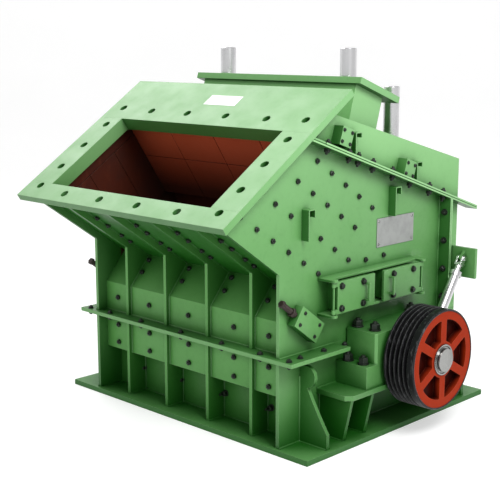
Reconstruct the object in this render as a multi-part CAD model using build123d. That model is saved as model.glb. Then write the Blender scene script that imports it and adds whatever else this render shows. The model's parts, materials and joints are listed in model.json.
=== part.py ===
from build123d import *
from math import asin, atan2, cos, degrees, hypot, radians, sin, sqrt, tan
import os

# Horizontal shaft impact crusher, in millimetres.
# X runs along the rotor shaft towards the pulley, Y from the feed side to the rear, Z up.
# The origin is on the underside of the base plate, in the mid plane, below the front edges.

# Housing
half_width = 900.0          # outside of the side plates, from the mid plane
plate = 25.0                # side plates, walls and ribs
liner = 27.0                # wear plates inside the feed chute
liner_joint = 4.0           # between neighbouring wear plates
liner_set = 6.0             # side wear plates behind the feed flange
rear_face = 1890.0          # outside of the rear wall
base_thick = 36.0
base_set = 14.0             # base plate's side edges inside the bearing seats'
base_front = 25.0           # base plate beyond their front edges
base_rear = 6.0             # base plate beyond the rear wall
joint_gap = 0.5             # between faces that part when the cover opens
clearance = 0.3             # round pins, shafts and rods
swing_gap = 7.0             # between the cover's front edge and the fixed cheeks

# Horizontal split flange between the lower and the middle housing
split_top = 616.0
flange_bar = 25.0
split_reach = 136.0         # how far it stands out at the sides
split_front = 36.0          # how far it stands out past the side plates' front edges
bearing_gap = 20.0          # between its side bars and the bearings

# Front wall, from the base up
wall_y = 200.0              # recessed lower wall
band_y = 78.0               # band panel in front of it
band_low = 338.0
band_height = 205.0         # of the band above the split flange
slope_angle = 49.9          # sloped panel above the band, from level
knee_z = 1140.0             # where the side plates turn forward
chute_angle = 34.8          # their sloped edges, and the chute floor, from level
floor_set = 48.0            # chute floor behind the sloped edges
rib_y = 50.0                # front edges of the ribs
rib_x = (205.0, 610.0)

# Feed flange; distances along it run up its face from the lower edge
flange_forward = 571.0      # lower edge in front of the side plates' front edges
flange_toe = 47.0           # where the side plates' sloped edges end on its back
flange_angle = 33.54
flange_over = 100.0         # past the side plates
flange_thick = 45.0
mouth_step = 107.0          # mouth inside the side plates' inner faces
mouth_low = 152.0
mouth_high = 884.0
top_border = 445.0          # flange above the mouth
lip_depth = 50.0
lip_thick = 22.0
bolt_hole = 56.0
column_edge = 134.0         # side columns of holes, from the flange's side edges
column_pitch = 239.0
column_shift = 51.0         # middle hole of a column above the middle of the mouth
row_x = (183.0, 548.0)
row_edge = (78.0, 339.0)    # rows of holes, from the lower and the upper edge
corner_edge = (121.0, 326.0)

# Chute back wall
wall_step = 76.0            # face of its liners above the mouth's upper edge
chute_wall_depth = 690.0
strip_depth = 150.0         # first row of side liners, along the flange
strip_joints = (475.0, 740.0)
liner_columns = 4

# Inclined split, vertical split and roof
bar_angle = 18.52
bar_thick = 13.0
bar_chamfer = 3.0           # along the outer edges of the joint between two bars
bar_reach = 95.0
bar_overrun = 110.0         # bars past the rear wall
cover_depth = 215.0         # vertical split in front of the rear wall
roof_angle = 15.24
roof_over_pivot = 129.0
hinge_out = 60.0            # cover hinge behind the rear wall
hinge_x = 600.0
hinge_pin = 25.0
hinge_eye = 50.0
ear_width = 56.0
ear_gap = 2.0
fork_plate = 24.0
hinge_root = 160.0          # height of the hinge plates on the walls
hinge_web = 30.0

# Neck and cap plate on the roof
neck_half = 720.0
neck_front = 150.0          # in front of the shaft
neck_depth = 287.0
neck_lean = 16.5
neck_wall = 20.0
cap_over = 57.0             # past the neck's sides
cap_set = 63.0              # cap's front edge behind the neck's front foot
cap_rise = 330.0            # above the roof there
cap_angle = 19.3
cap_length = 442.0
cap_thick = 43.0

# Adjusting rods of the aprons
rod_radius = 56.0
rod_set = 130.0             # middle of a rod inside the neck's side wall
rod_chamfer = 4.5
front_rod_set = 26.0        # behind the shaft
front_rod_proud = 224.0     # above the cap plate
rear_rod_set = 514.0        # behind the shaft
rear_rod_proud = 412.0      # above the roof
rod_lug_deep = 110.0

# Aprons; the bends of their centre lines are measured from the shaft
apron_side_gap = 10.0
apron_thick = 80.0
apron_hub = 62.0
apron_shaft = 40.0
front_pivot_set = 202.0     # beyond the chute's back liners
front_pivot_depth = 243.0   # behind the feed flange's face
front_bends = ((-300.0, 1560.0), (-200.0, 1270.0), (40.0, 1072.0))
rear_pivot_set = 202.0      # behind the shaft
rear_pivot_rise = 73.0      # above the inclined split
rear_bends = ((320.0, 1400.0), (480.0, 1110.0), (500.0, 760.0))
pivot_block = (112.0, 118.0)
pivot_block_proud = 74.0

# Rotor
shaft_y = 1000.0
shaft_drop = 108.0          # below the split flange's top
shaft_radius = 85.0
shaft_hole_gap = 12.0
rotor_radius = 385.0
rotor_gap = 103.0           # between the rotor's ends and the side liners
bar_tip_radius = 448.0
blow_bar_thick = 95.0
blow_bar_depth = 190.0
blow_bars = 4
blow_bar_turn = 20.0

# Bearings and their seats
seat_reach = 272.0
seat_half = 645.0
seat_drop = 160.0           # seat below the shaft
seat_thick = 32.0
seat_chamfer = 40.0
gusset_offsets = (397.0, 605.0)
gusset_foot = 198.0
gusset_edge = 8.0
foot_reach = 255.0
foot_half = 457.0
foot_height = 148.0
cap_block_half = 362.0
cap_block_height = 201.0
cap_block_chamfer = 14.0

# Curved corner gussets; x and z are measured on the side plate
gusset_set = (150.0, 45.0)  # in front of and behind the bearing seats
gusset_toe = (227.0, 131.0)
gusset_hip = (151.0, 248.0)
gusset_waist = (51.0, 424.0)
gusset_head = (53.0, 473.0)
gusset_head_radius = 72.0

# Pulley
pulley_radius = 330.0
pulley_gap = 36.0           # between the bearing and the pulley
pulley_width = 230.0
grooves = 5
groove_pitch = 35.0
groove_depth = 25.0
groove_top = 28.0
groove_margin = 8.0         # rim beside the first groove
rim_chamfer = 5.0
shaft_end_radius = 77.0
rim_radius = 300.0          # seat between the black rim and the red wheel
face_radius = 318.0         # red ring that laps over the seat
face_thick = 20.0
wheel_ring = 36.0
wheel_thick = 60.0
wheel_web = 12.0            # floor of the pockets between the spokes
wheel_inset = 3.0
wheel_hub = 120.0
spokes = 6
spoke_width = 58.0
window_corner = 8.0
bush_radius = 101.0
bush_proud = 4.0
bush_lip = 10.0
bush_recess = 12.0
shaft_end_proud = 22.0

# Inspection doors, two on each side; lengths along Y are measured from the shaft
door_spans = ((-589.0, -214.0), (-116.0, 280.0))
door_rise = 230.0           # lower edge above the split flange
door_height = 206.0
door_face = 100.0           # inner face of the leaves, from the side plate
door_thick = 18.0
door_pin = 8.0
door_knuckle = 14.0
knuckle_height = 30.0
hinge_set = 31.0            # pin beyond the leaf's end
ledge_thick = 15.0
ledge_gap = 4.0
ledge_reach = 78.0
ledge_head = 28.0
port_margin = 62.0
port_height = 160.0
port_wall = 16.0
handle_set = (100.0, 60.0)  # from the leaf's free edge, front and rear door
handle_length = 96.0
handle_bar = 12.0
handle_width = 16.0
handle_proud = 42.0

# Cylinders that lift the cover
cylinder_set = 190.0        # their plane, from the side plate
cylinder_gap = 68.0         # lower pin behind the bearing's cap
cylinder_low_rise = 49.0    # lower pin above the split flange
cylinder_high_rise = 417.0
barrel_radius = 34.0
barrel_start = 46.0
barrel_length = 292.0
barrel_wall = 11.0
barrel_collar = 34.0
collar_proud = 9.0
neck_radius = 19.0
eye_radius = 34.0
eye_width = 40.0
cylinder_pin = 15.0
pin_head = 6.0
lug_thick = 22.0
lug_gap = 2.0
lug_eye = 36.0
shelf_half = 45.0
shelf_thick = 55.0
tongue = 20.0
tine = 13.0
rod_start = 6.0             # end of the rod above the barrel's foot
lug_radius = 22.0
fork_gap = 18.0             # between the bracket's lug and the fork's base
fork_base = 18.0
fork_pin_head = 10.0
bracket_set = 30.0          # bracket plate behind the upper pin
bracket_drop = 140.0
bracket_rise = 72.0
bracket_reach = 283.0
bracket_root = (-60.0, 50.0)
stay_inset = 10.0
stay_taper = 50.0

# Small plates on the sides
hook_reach = 60.0
hook_height = 196.0
hook_lip = 66.0
hook_length = 62.0
hook_strap = 15.0
side_hook_places = ((196.0, -429.0), (1068.0, -80.0))
cover_hook_places = ((628.0, 161.0), (1290.0, 146.0))
jack_y = 210.0
jack_rise = 189.0           # above the split flange
jack_angle = -36.5
jack_length = 250.0
jack_width = 140.0
jack_proud = 65.0
screw_radius = 16.5
screw_length = 140.0
screw_head = 24.0
name_plate_y = (945.0, 1350.0)
name_plate_drop = 356.0     # its middle below the inclined split
name_plate_height = 193.0
name_plate_thick = 5.0

far = 4000.0                # longer than anything here, for cutting
inner = half_width - plate
split_low = split_top - flange_bar
above_split = split_top + joint_gap
band_top = split_top + band_height
flange_slope = radians(flange_angle)
chute_slope = radians(chute_angle)
bar_slope = radians(bar_angle)
roof_slope = radians(roof_angle)
rise_slope = radians(slope_angle)

flange_half = half_width + flange_over
flange_length = mouth_high + top_border
mouth_half = inner - mouth_step
column_x = flange_half - column_edge
lip_end = flange_thick + lip_depth
chute_wall_s = mouth_high + wall_step
flange_low_y = -flange_forward
toe_y = flange_low_y + flange_toe * cos(flange_slope) + flange_thick * sin(flange_slope)
flange_low_z = (knee_z - toe_y * tan(chute_slope) - flange_toe * sin(flange_slope)
                + flange_thick * cos(flange_slope))

shaft_z = split_top - shaft_drop
shaft_centre = (shaft_y, shaft_z)
seat_top = shaft_z - seat_drop
stand_y = rear_face - cover_depth
hinge_y = rear_face + hinge_out
hinge_z = split_top
pulley_inner_x = half_width + foot_reach + pulley_gap
rotor_half = inner - liner - rotor_gap
neck_front_y = shaft_y - neck_front
rod_x = neck_half - neck_wall - rod_set
front_rod_y = shaft_y + front_rod_set
rear_rod_y = shaft_y + rear_rod_set
cylinder_x = half_width + cylinder_set
cylinder_low = (shaft_y + cap_block_half + cylinder_gap, split_top + cylinder_low_rise)
cylinder_high = (stand_y, split_top + cylinder_high_rise)
piston_radius = barrel_radius - barrel_wall - clearance
door_low = split_top + door_rise
door_high = door_low + door_height
port_low = (door_low + door_high - port_height) / 2
port_high = port_low + port_height
pin_x = half_width + door_face + door_thick / 2


# Points in the side view are (y, z)

def on_flange(along, behind):
    """Point at a distance up the feed flange and behind its front face."""
    return (flange_low_y + along * cos(flange_slope) + behind * sin(flange_slope),
            flange_low_z + along * sin(flange_slope) - behind * cos(flange_slope))


def on_bar(y, above=0.0):
    """Point over y on the inclined split, or a distance square to it."""
    start = on_flange(mouth_high, flange_thick)
    return (y, start[1] - (y - start[0]) * tan(bar_slope) + above / cos(bar_slope))


def front_pivot():
    return on_flange(chute_wall_s + front_pivot_set, front_pivot_depth)


def rear_pivot():
    y = shaft_y + rear_pivot_set
    return (y, on_bar(y)[1] + rear_pivot_rise)


def on_roof(y, above=0.0):
    """Point over y on the roof's outer face, or a distance square to it."""
    pivot = front_pivot()
    return (y, pivot[1] + roof_over_pivot - (y - pivot[0]) * tan(roof_slope) + above / cos(roof_slope))


def cover_radius():
    """Reach of the cover's front edge from its hinge, just short of the feed flange."""
    corner = on_flange(flange_length, flange_thick)
    return hypot(corner[0] - hinge_y, corner[1] - hinge_z) - 1.5 * swing_gap


def flange_joint(above=0.0):
    """Where the inclined split, or a line square above it, meets the flange's back."""
    return meet_flange_back(on_bar(0, above), -bar_slope)


def side_edge(y):
    """Height of the side plates' sloped front edges over y."""
    return knee_z - y * tan(chute_slope)


def slope_top():
    """Bend between the sloped panel and the chute floor."""
    floor = (floor_set * sin(chute_slope), knee_z + floor_set * cos(chute_slope))
    return meet((band_y, band_top), rise_slope, floor, -chute_slope)


def floor_line(above):
    """Point and slope of a line above the chute floor's underside, from the bend up."""
    bend = slope_top()
    return ((bend[0] + above * sin(chute_slope), bend[1] + above * cos(chute_slope)), -chute_slope)


def meet(point_a, slope_a, point_b, slope_b):
    """Where two lines cross; slopes are angles in radians."""
    turn = sin(slope_b - slope_a)
    run = ((point_b[0] - point_a[0]) * sin(slope_b) - (point_b[1] - point_a[1]) * cos(slope_b)) / turn
    return (point_a[0] + run * cos(slope_a), point_a[1] + run * sin(slope_a))


def meet_flange_back(point, slope):
    return meet(point, slope, on_flange(0, flange_thick), flange_slope)


def prism(points, x_low, x_high):
    """Outline in the side view, made solid between two X values."""
    face = make_face(Polyline(*points, close=True))
    return extrude(Plane.YZ.offset(x_low) * face, x_high - x_low)


def band(points, thick):
    """Outline of a bent plate: its outer line, thickened to the right of the way along it."""
    slopes = [atan2(end[1] - start[1], end[0] - start[0]) for start, end in zip(points, points[1:])]
    shifted = [(x + thick * sin(slope), z - thick * cos(slope)) for (x, z), slope in zip(points, slopes)]
    end = (points[-1][0] + thick * sin(slopes[-1]), points[-1][1] - thick * cos(slopes[-1]))
    bends = [meet(shifted[n], slopes[n], shifted[n + 1], slopes[n + 1]) for n in range(len(slopes) - 1)]
    return [*points, end, *bends[::-1], shifted[0]]


def shift_line(points, distance):
    """The same bent line, moved square to itself."""
    return band(points, distance)[len(points):][::-1]


def block(x_low, x_high, y_low, y_high, z_low, z_high):
    size = Box(x_high - x_low, y_high - y_low, z_high - z_low)
    return Pos((x_low + x_high) / 2, (y_low + y_high) / 2, (z_low + z_high) / 2) * size


def round_x(centre, radius, x_low, x_high):
    """Cylinder along X round a point of the side view."""
    return extrude(Plane.YZ.offset(x_low) * Pos(*centre) * Circle(radius), x_high - x_low)


def tilted(centre, angle, length, width, x_low, x_high):
    """Box that lies turned in the side view."""
    face = Plane.YZ.offset(x_low) * Pos(*centre) * Rot(0, 0, angle) * Rectangle(length, width)
    return extrude(face, x_high - x_low)


def cross_plate(face, y, thick):
    """Outline in (x, z), made a plate whose middle is at y."""
    return extrude(Plane(origin=(0, y + thick / 2, 0), x_dir=(1, 0, 0), z_dir=(0, -1, 0)) * face, thick)


def other_side(shape):
    return mirror(shape, Plane.YZ)


def both_sides(shape):
    return together(shape, other_side(shape))


def together(*shapes):
    return Compound([solid for shape in shapes for solid in shape.solids()])


def behind_flange():
    """Everything behind the feed flange."""
    return prism([on_flange(-far, flange_thick), on_flange(far, flange_thick),
                  on_flange(far, far), on_flange(-far, far)], -far, far)


def ribs(outline):
    """Plates of one outline across the front of the housing."""
    return together(*[prism(outline, side * x - plate / 2, side * x + plate / 2)
                      for side in (-1, 1) for x in rib_x])


# Base and lower housing

def base_plate():
    reach = half_width + seat_reach - base_set
    slab = block(-reach, reach, -base_front, rear_face + base_rear, 0, base_thick)
    return slab - block(-inner, inner, wall_y + plate, rear_face - plate, -far, far)


def lower_side():
    wall = block(inner, half_width, 0, rear_face, base_thick, split_low)
    return wall - shaft_hole()


def shaft_hole():
    return round_x(shaft_centre, shaft_radius + shaft_hole_gap, 0, half_width)


def lower_front_wall():
    outline = band([(wall_y, base_thick), (wall_y, band_low), (band_y, band_low),
                    (band_y, split_low)], plate)
    return prism(outline, -inner, inner)


def lower_rear_wall():
    return block(-inner, inner, rear_face - plate, rear_face, base_thick, split_low)


def lower_ribs():
    return ribs([(rib_y, base_thick), (wall_y, base_thick), (wall_y, band_low),
                 (band_y, band_low), (band_y, split_low), (rib_y, split_low)])


def split_flange():
    """Ring between the housings; its side bars stop short of the bearings and end at the upright split."""
    edge = half_width + split_reach
    ring = block(-half_width, half_width, 0, rear_face, split_low, split_top)
    ring -= block(-inner, inner, band_y + plate, rear_face - plate, 0, far)
    ring += block(-edge, edge, -split_front, band_y, split_low, split_top)
    side = block(half_width, edge, -split_front, shaft_y, split_low, split_top)
    side += block(half_width, half_width + bar_reach, shaft_y, stand_y + bar_thick, split_low, split_top)
    side -= block(0, far, shaft_y - foot_half - bearing_gap, shaft_y + foot_half + bearing_gap, 0, far)
    return ring + side + other_side(side) - both_sides(shaft_hole())


# Middle housing

def middle_side():
    toe = meet_flange_back((0, knee_z), -chute_slope)
    wall = prism([(0, split_top), (0, knee_z), toe, flange_joint(), on_bar(stand_y),
                  (stand_y, split_top)], inner, half_width)
    for centre, length in door_ports():
        wall -= block(0, far, centre - length / 2, centre + length / 2, port_low, port_high)
    return wall


def front_line():
    """Outer line of the band panel, the sloped panel and the chute floor."""
    bend = slope_top()
    return [(band_y, split_top), (band_y, band_top), bend, meet_flange_back(bend, -chute_slope)]


def middle_front_wall():
    *line, end = front_line()
    beyond = (end[0] - flange_thick, end[1] + flange_thick * tan(chute_slope))
    return prism(band([*line, beyond], plate), -inner, inner) & behind_flange()


def upper_ribs():
    knee = (rib_y, side_edge(rib_y))
    return ribs([(rib_y, split_top), *front_line(), meet_flange_back(knee, -chute_slope), knee])


def joint_grooves():
    """V grooves along the outer edges of the inclined and the upright joint."""
    edge = half_width + bar_reach
    along = Plane(origin=(edge, *on_bar(stand_y)), z_dir=(0, cos(bar_slope), -sin(bar_slope)))
    upright = Plane(origin=(edge, stand_y, split_top), x_dir=(1, 0, 0), z_dir=(0, 0, 1))
    groove = RegularPolygon(bar_chamfer, 4)
    height = on_bar(stand_y)[1] - split_top
    return extrude(along * groove, far, both=True) + extrude(upright * groove, height)


def fixed_bars():
    """Lower bar of the inclined split and front bar of the vertical one."""
    edge = half_width + bar_reach
    inclined = prism([flange_joint(), flange_joint(-bar_thick), on_bar(stand_y, -bar_thick),
                      on_bar(stand_y)], half_width, edge)
    front = stand_y - bar_thick
    upright = prism([(front, split_top), (stand_y, split_top), on_bar(stand_y), on_bar(front)],
                    half_width, edge)
    return inclined + upright - joint_grooves()


def cheek():
    """Fixed plate behind the feed flange, rounded so that the cover swings clear."""
    roof_corner = meet_flange_back(on_roof(0), -roof_slope)
    web = prism([flange_joint(), roof_corner, on_roof(stand_y), on_bar(stand_y)], inner, half_width)
    bar = prism([flange_joint(), flange_joint(bar_thick), on_bar(stand_y, bar_thick), on_bar(stand_y)],
                half_width, half_width + bar_reach)
    return web + bar - joint_grooves() - cover_disc(swing_gap)


# Feed flange, made of four bars with a lip round the mouth

def flange_piece(x_low, x_high, s_low, s_high, front=0.0, back=flange_thick):
    """Slab between distances along the flange and behind its face."""
    return prism([on_flange(s_low, front), on_flange(s_high, front),
                  on_flange(s_high, back), on_flange(s_low, back)], x_low, x_high)


def flange_holes(places):
    """Bolt holes through the flange at places (x, distance along it)."""
    holes = []
    for x, s in places:
        centre = on_flange(s, flange_thick / 2)
        face = Plane(origin=(x, *centre), x_dir=(1, 0, 0), z_dir=(0, -sin(flange_slope), cos(flange_slope)))
        holes.append(face * Cylinder(bolt_hole / 2, 3 * flange_thick))
    return together(*holes)


def hole_row(s, corner_s):
    row = [(side * x, s) for side in (-1, 1) for x in row_x]
    return flange_holes([*row, (-column_x, corner_s), (column_x, corner_s)])


def flange_bottom():
    bar = flange_piece(-flange_half, flange_half, 0, mouth_low)
    return bar - hole_row(row_edge[0], corner_edge[0])


def flange_top():
    bar = flange_piece(-flange_half, flange_half, mouth_high, flange_length)
    lip = mouth_half + lip_thick
    bar += flange_piece(-lip, lip, mouth_high, mouth_high + lip_thick, flange_thick, lip_end)
    return bar - hole_row(flange_length - row_edge[1], flange_length - corner_edge[1])


def flange_side():
    bar = flange_piece(mouth_half, flange_half, mouth_low, mouth_high)
    floor = floor_line(plate + liner)
    bar += prism([meet_flange_back(*floor), on_flange(mouth_high, flange_thick),
                  on_flange(mouth_high, lip_end), meet(*floor, on_flange(0, lip_end), flange_slope)],
                 mouth_half, mouth_half + lip_thick)
    middle = (mouth_low + mouth_high) / 2 + column_shift
    return bar - flange_holes([(column_x, middle + step * column_pitch) for step in (-1, 0, 1)])


# Chute inside the mouth

def chute_back_wall():
    face = chute_wall_s + liner
    return flange_piece(-inner, inner, face, face + plate, flange_thick, flange_thick + chute_wall_depth)


def liner_spans():
    """X values between which each column of wear plates lies."""
    low = liner - inner
    wide = -2 * low / liner_columns
    return [(low + n * wide + liner_joint / 2, low + (n + 1) * wide - liner_joint / 2)
            for n in range(liner_columns)]


def chute_liners():
    """Two rows of wear plates on the back wall and one row on the floor."""
    half = chute_wall_depth / 2
    low = floor_line(plate)[0]
    high = floor_line(plate + liner)[0]
    floor = [low, high, meet_flange_back(high, -chute_slope), meet_flange_back(low, -chute_slope)]
    plates = []
    for span in liner_spans():
        plates.append(prism(floor, *span))
        for row in (0, half):
            plates.append(flange_piece(*span, chute_wall_s, chute_wall_s + liner,
                                       flange_thick + row + liner_joint, flange_thick + row + half))
    return together(*plates)


def side_liners():
    """Wear plates of one chute side: a strip along the flange and three deeper ones."""
    floor = floor_line(plate + liner)
    front = flange_thick + liner_set
    back = flange_thick + chute_wall_depth
    split = flange_thick + strip_depth
    whole = prism([meet(*floor, on_flange(0, front), flange_slope), on_flange(chute_wall_s, front),
                   on_flange(chute_wall_s, back), meet(*floor, on_flange(0, back), flange_slope)],
                  inner - liner, inner)
    whole -= flange_piece(0, far, -far, far, split, split + liner_joint)
    for s in strip_joints:
        whole -= flange_piece(0, far, s - liner_joint / 2, s + liner_joint / 2, split, far)
    return whole


# Cover: everything above the inclined split and behind the vertical one

def cover_disc(margin=0.0):
    """Everything that the cover's front edge, or one a margin beyond it, sweeps round."""
    return round_x((hinge_y, hinge_z), cover_radius() + margin, -far, far)


def cover_side():
    stand = stand_y + joint_gap
    outline = [on_bar(flange_low_y, joint_gap), on_roof(flange_low_y), on_roof(rear_face),
               (rear_face, above_split), (stand, above_split), on_bar(stand, joint_gap)]
    return prism(outline, inner, half_width) & cover_disc()


def cover_bars():
    """Upper bar of the inclined split, its lower bar behind, and the upright bar."""
    end = rear_face + bar_overrun
    stand = stand_y + joint_gap
    high = joint_gap + bar_thick
    edge = half_width + bar_reach
    upper = prism([on_bar(flange_low_y, joint_gap), on_bar(flange_low_y, high), on_bar(end, high),
                   on_bar(end, joint_gap)], half_width, edge) & cover_disc()
    lower = prism([on_bar(stand, joint_gap), on_bar(end, joint_gap), on_bar(end, -bar_thick),
                   on_bar(stand, -bar_thick)], half_width, edge)
    upright = prism([(stand, above_split), (stand + bar_thick, above_split),
                     on_bar(stand + bar_thick), on_bar(stand)], half_width, edge)
    return upper + lower + upright - joint_grooves()


def roof_front_y():
    """Where the roof's outer face comes just inside the cover's front arc."""
    radius = cover_radius() - 2 * swing_gap
    rise = on_roof(hinge_y)[1] - hinge_z
    steep = tan(roof_slope)
    reach = (sqrt(radius ** 2 * (1 + steep ** 2) - rise ** 2) - rise * steep) / (1 + steep ** 2)
    return hinge_y - reach


def roof_plate():
    front = roof_front_y()
    outline = [on_roof(front), on_roof(rear_face), on_roof(rear_face, -plate), on_roof(front, -plate)]
    return prism(outline, -inner, inner) - rod_shafts(clearance)


def cover_front_wall():
    """Plate that closes the cover behind the chute's back wall."""
    chute_rear = on_flange(chute_wall_s + liner + plate + 2 * swing_gap, 0)
    low = meet(chute_rear, flange_slope - radians(90), on_bar(0, joint_gap), -bar_slope)
    top = on_roof(roof_front_y(), -plate)
    return prism([top, on_roof(top[0] + plate, -plate), on_bar(low[0] + plate, joint_gap), low],
                 -inner, inner)


def rear_wall():
    outline = [(rear_face - plate, above_split), (rear_face, above_split),
               on_roof(rear_face, -plate), on_roof(rear_face - plate, -plate)]
    return prism(outline, -inner, inner)


def cap_point(along, below):
    """Point on the cap plate: along its slope from the front edge, and below its top."""
    slope = radians(cap_angle)
    front = neck_front_y + cap_set
    return (front + along * cos(slope) - below * sin(slope),
            on_roof(front)[1] + cap_rise - along * sin(slope) - below * cos(slope))


def neck_outline(inset):
    """Leaning neck in the side view, between the roof and the cap plate."""
    lean = radians(90 - neck_lean)
    feet = [on_roof(neck_front_y + inset), on_roof(neck_front_y + neck_depth - inset)]
    tops = [meet(foot, lean, cap_point(0, cap_thick), -radians(cap_angle)) for foot in feet]
    return [feet[0], *tops, feet[1]]


def neck():
    outer = prism(neck_outline(0), -neck_half, neck_half)
    return outer - prism(neck_outline(neck_wall), neck_wall - neck_half, neck_half - neck_wall)


def cap_plate():
    half = neck_half + cap_over
    slab = prism([cap_point(0, 0), cap_point(cap_length, 0), cap_point(cap_length, cap_thick),
                  cap_point(0, cap_thick)], -half, half)
    return slab - rod_shafts(clearance)


# Aprons, their shafts and their adjusting rods

def rod_shafts(extra):
    """Room for the four adjusting rods."""
    return together(*[Pos(side * rod_x, y, far / 2) * Cylinder(rod_radius + extra, far)
                      for side in (-1, 1) for y in (front_rod_y, rear_rod_y)])


def rod_foot(rod_y, pivot, bends):
    """Height of an apron's back at the front of the rod that pushes on it."""
    y = rod_y - rod_radius
    back = shift_line([pivot, *bends], -apron_thick / 2)
    heights = [start[1] + (y - start[0]) / (end[0] - start[0]) * (end[1] - start[1])
               for start, end in zip(back, back[1:]) if start[0] <= y <= end[0]]
    return heights[0]


def rods(y, top, foot):
    bar = Cylinder(rod_radius, top - foot)
    bar = chamfer(bar.edges().filter_by(GeomType.CIRCLE).sort_by(Axis.Z)[-1], rod_chamfer)
    return both_sides(Pos(rod_x, y, (foot + top) / 2) * bar)


def apron(pivot, bends, rod_y, foot):
    """Hanging impact apron: a bent plate with its hub and rod lugs."""
    half = inner - liner - apron_side_gap
    face = shift_line([pivot, *bends], -apron_thick / 2)
    body = prism(band(face, apron_thick), -half, half)
    body += round_x(pivot, apron_hub, -half, half)
    body -= round_x(pivot, apron_shaft + clearance, -far, far)
    for x in (-rod_x, rod_x):
        body += block(x - rod_radius, x + rod_radius, rod_y - rod_radius, rod_y + rod_radius,
                      foot - rod_lug_deep, foot)
    return body


def apron_shafts():
    return together(*[round_x(pivot, apron_shaft, -inner, inner) for pivot in (front_pivot(), rear_pivot())])


def pivot_blocks():
    edge = half_width + pivot_block_proud
    return both_sides(together(*[tilted(pivot, -bar_angle, *pivot_block, half_width, edge) & above_bars()
                                 for pivot in (front_pivot(), rear_pivot())]))


def above_bars():
    """Everything above the cover's inclined bars."""
    under = joint_gap + bar_thick
    return prism([on_bar(flange_low_y, under), on_bar(far, under), (far, far), (flange_low_y, far)], 0, far)


# Hinge of the cover behind the housing

def base_hinge(x):
    """Fork with its pin, on the lower rear wall."""
    half = ear_width / 2 + ear_gap + fork_plate
    web = prism([(rear_face, hinge_z - hinge_eye - hinge_root), (rear_face, split_low),
                 (hinge_y, split_low), (hinge_y + hinge_eye / 2, hinge_z - hinge_eye / 2),
                 (hinge_y, hinge_z - hinge_eye - hinge_web)], x - half, x + half)
    fork = round_x((hinge_y, hinge_z), hinge_eye, x - half, x + half) + web
    fork -= block(x - half + fork_plate, x + half - fork_plate, 0, far, 0, far)
    return fork + round_x((hinge_y, hinge_z), hinge_pin, x - half - hinge_eye / 4, x + half + hinge_eye / 4)


def cover_hinge(x):
    """Ear on the rear wall of the cover that turns in the fork."""
    half = ear_width / 2
    eye = hinge_eye - ear_gap
    ear = round_x((hinge_y, hinge_z), eye, x - half, x + half)
    ear += prism([(rear_face, hinge_z + eye / 2), (rear_face, hinge_z + eye / 2 + hinge_root),
                  (hinge_y + eye / 2, hinge_z + eye * 0.8), (hinge_y, hinge_z)], x - half, x + half)
    return ear - round_x((hinge_y, hinge_z), hinge_pin + clearance, -far, far)


# Rotor and pulley

def rotor_shaft():
    """Shaft from the far bearing to the pulley, with a turned-down drive end."""
    wheel_face = pulley_inner_x + pulley_width
    bar = round_x(shaft_centre, shaft_radius, pulley_gap - half_width - foot_reach, wheel_face)
    return bar + round_x(shaft_centre, shaft_end_radius, wheel_face, wheel_face + shaft_end_proud)


def blow_bar_blocks(extra=0.0):
    """Blow bars, or their pockets with some room round them."""
    middle = bar_tip_radius - blow_bar_depth / 2
    bars = []
    for n in range(blow_bars):
        turn = radians(blow_bar_turn + n * 360 / blow_bars)
        centre = (shaft_y + middle * cos(turn), shaft_z + middle * sin(turn))
        bars.append(tilted(centre, degrees(turn), blow_bar_depth + 2 * extra,
                           blow_bar_thick + 2 * extra, -rotor_half, rotor_half))
    return together(*bars)


def rotor_body():
    drum = round_x(shaft_centre, rotor_radius, -rotor_half, rotor_half)
    return drum - blow_bar_blocks(clearance) - round_x(shaft_centre, shaft_radius, -far, far)


def turned(points):
    """Solid of revolution about the shaft from (x, radius) points."""
    face = make_face(Polyline(*points, close=True))
    return Pos(0, *shaft_centre) * revolve(face, Axis.X)


def pulley_rim():
    """Rim with its V grooves for the belts, turned about the shaft."""
    outer = pulley_inner_x + pulley_width
    points = [(pulley_inner_x, rim_radius), (pulley_inner_x, pulley_radius)]
    for n in range(grooves):
        middle = pulley_inner_x + groove_pitch * (n + 0.5) + groove_margin
        points += [(middle - groove_top / 2, pulley_radius), (middle, pulley_radius - groove_depth),
                   (middle + groove_top / 2, pulley_radius)]
    lap = outer - wheel_inset - face_thick
    return turned([*points, (outer - rim_chamfer, pulley_radius), (outer, pulley_radius - rim_chamfer),
                   (outer, face_radius), (lap, face_radius), (lap, rim_radius)])


def wheel_window():
    """Outline of one pocket between two spokes, about the +Y direction."""
    low = wheel_hub
    high = rim_radius - wheel_ring
    low_turn = radians(180 / spokes) - asin(spoke_width / 2 / low)
    high_turn = radians(180 / spokes) - asin(spoke_width / 2 / high)
    outside = ThreePointArc((high * cos(high_turn), -high * sin(high_turn)), (high, 0),
                            (high * cos(high_turn), high * sin(high_turn)))
    inside = ThreePointArc((low * cos(low_turn), low * sin(low_turn)), (low, 0),
                           (low * cos(low_turn), -low * sin(low_turn)))
    face = make_face([outside, Line(outside @ 1, inside @ 0), inside, Line(inside @ 1, outside @ 0)])
    return fillet(face.vertices(), window_corner)


def pulley_wheel():
    """Red wheel: a disc with rounded pockets between its spokes, and a ring that laps over the rim."""
    outer = pulley_inner_x + pulley_width - wheel_inset
    inside = outer - wheel_thick
    wheel = round_x(shaft_centre, rim_radius, inside, outer)
    wheel += round_x(shaft_centre, face_radius, outer - face_thick, outer)
    wheel -= round_x(shaft_centre, bush_radius, 0, far)
    window = wheel_window()
    for n in range(spokes):
        turned_window = Pos(*shaft_centre) * Rot(0, 0, n * 360 / spokes) * window
        wheel -= extrude(Plane.YZ.offset(inside + wheel_web) * turned_window, wheel_thick)
    return wheel


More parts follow.
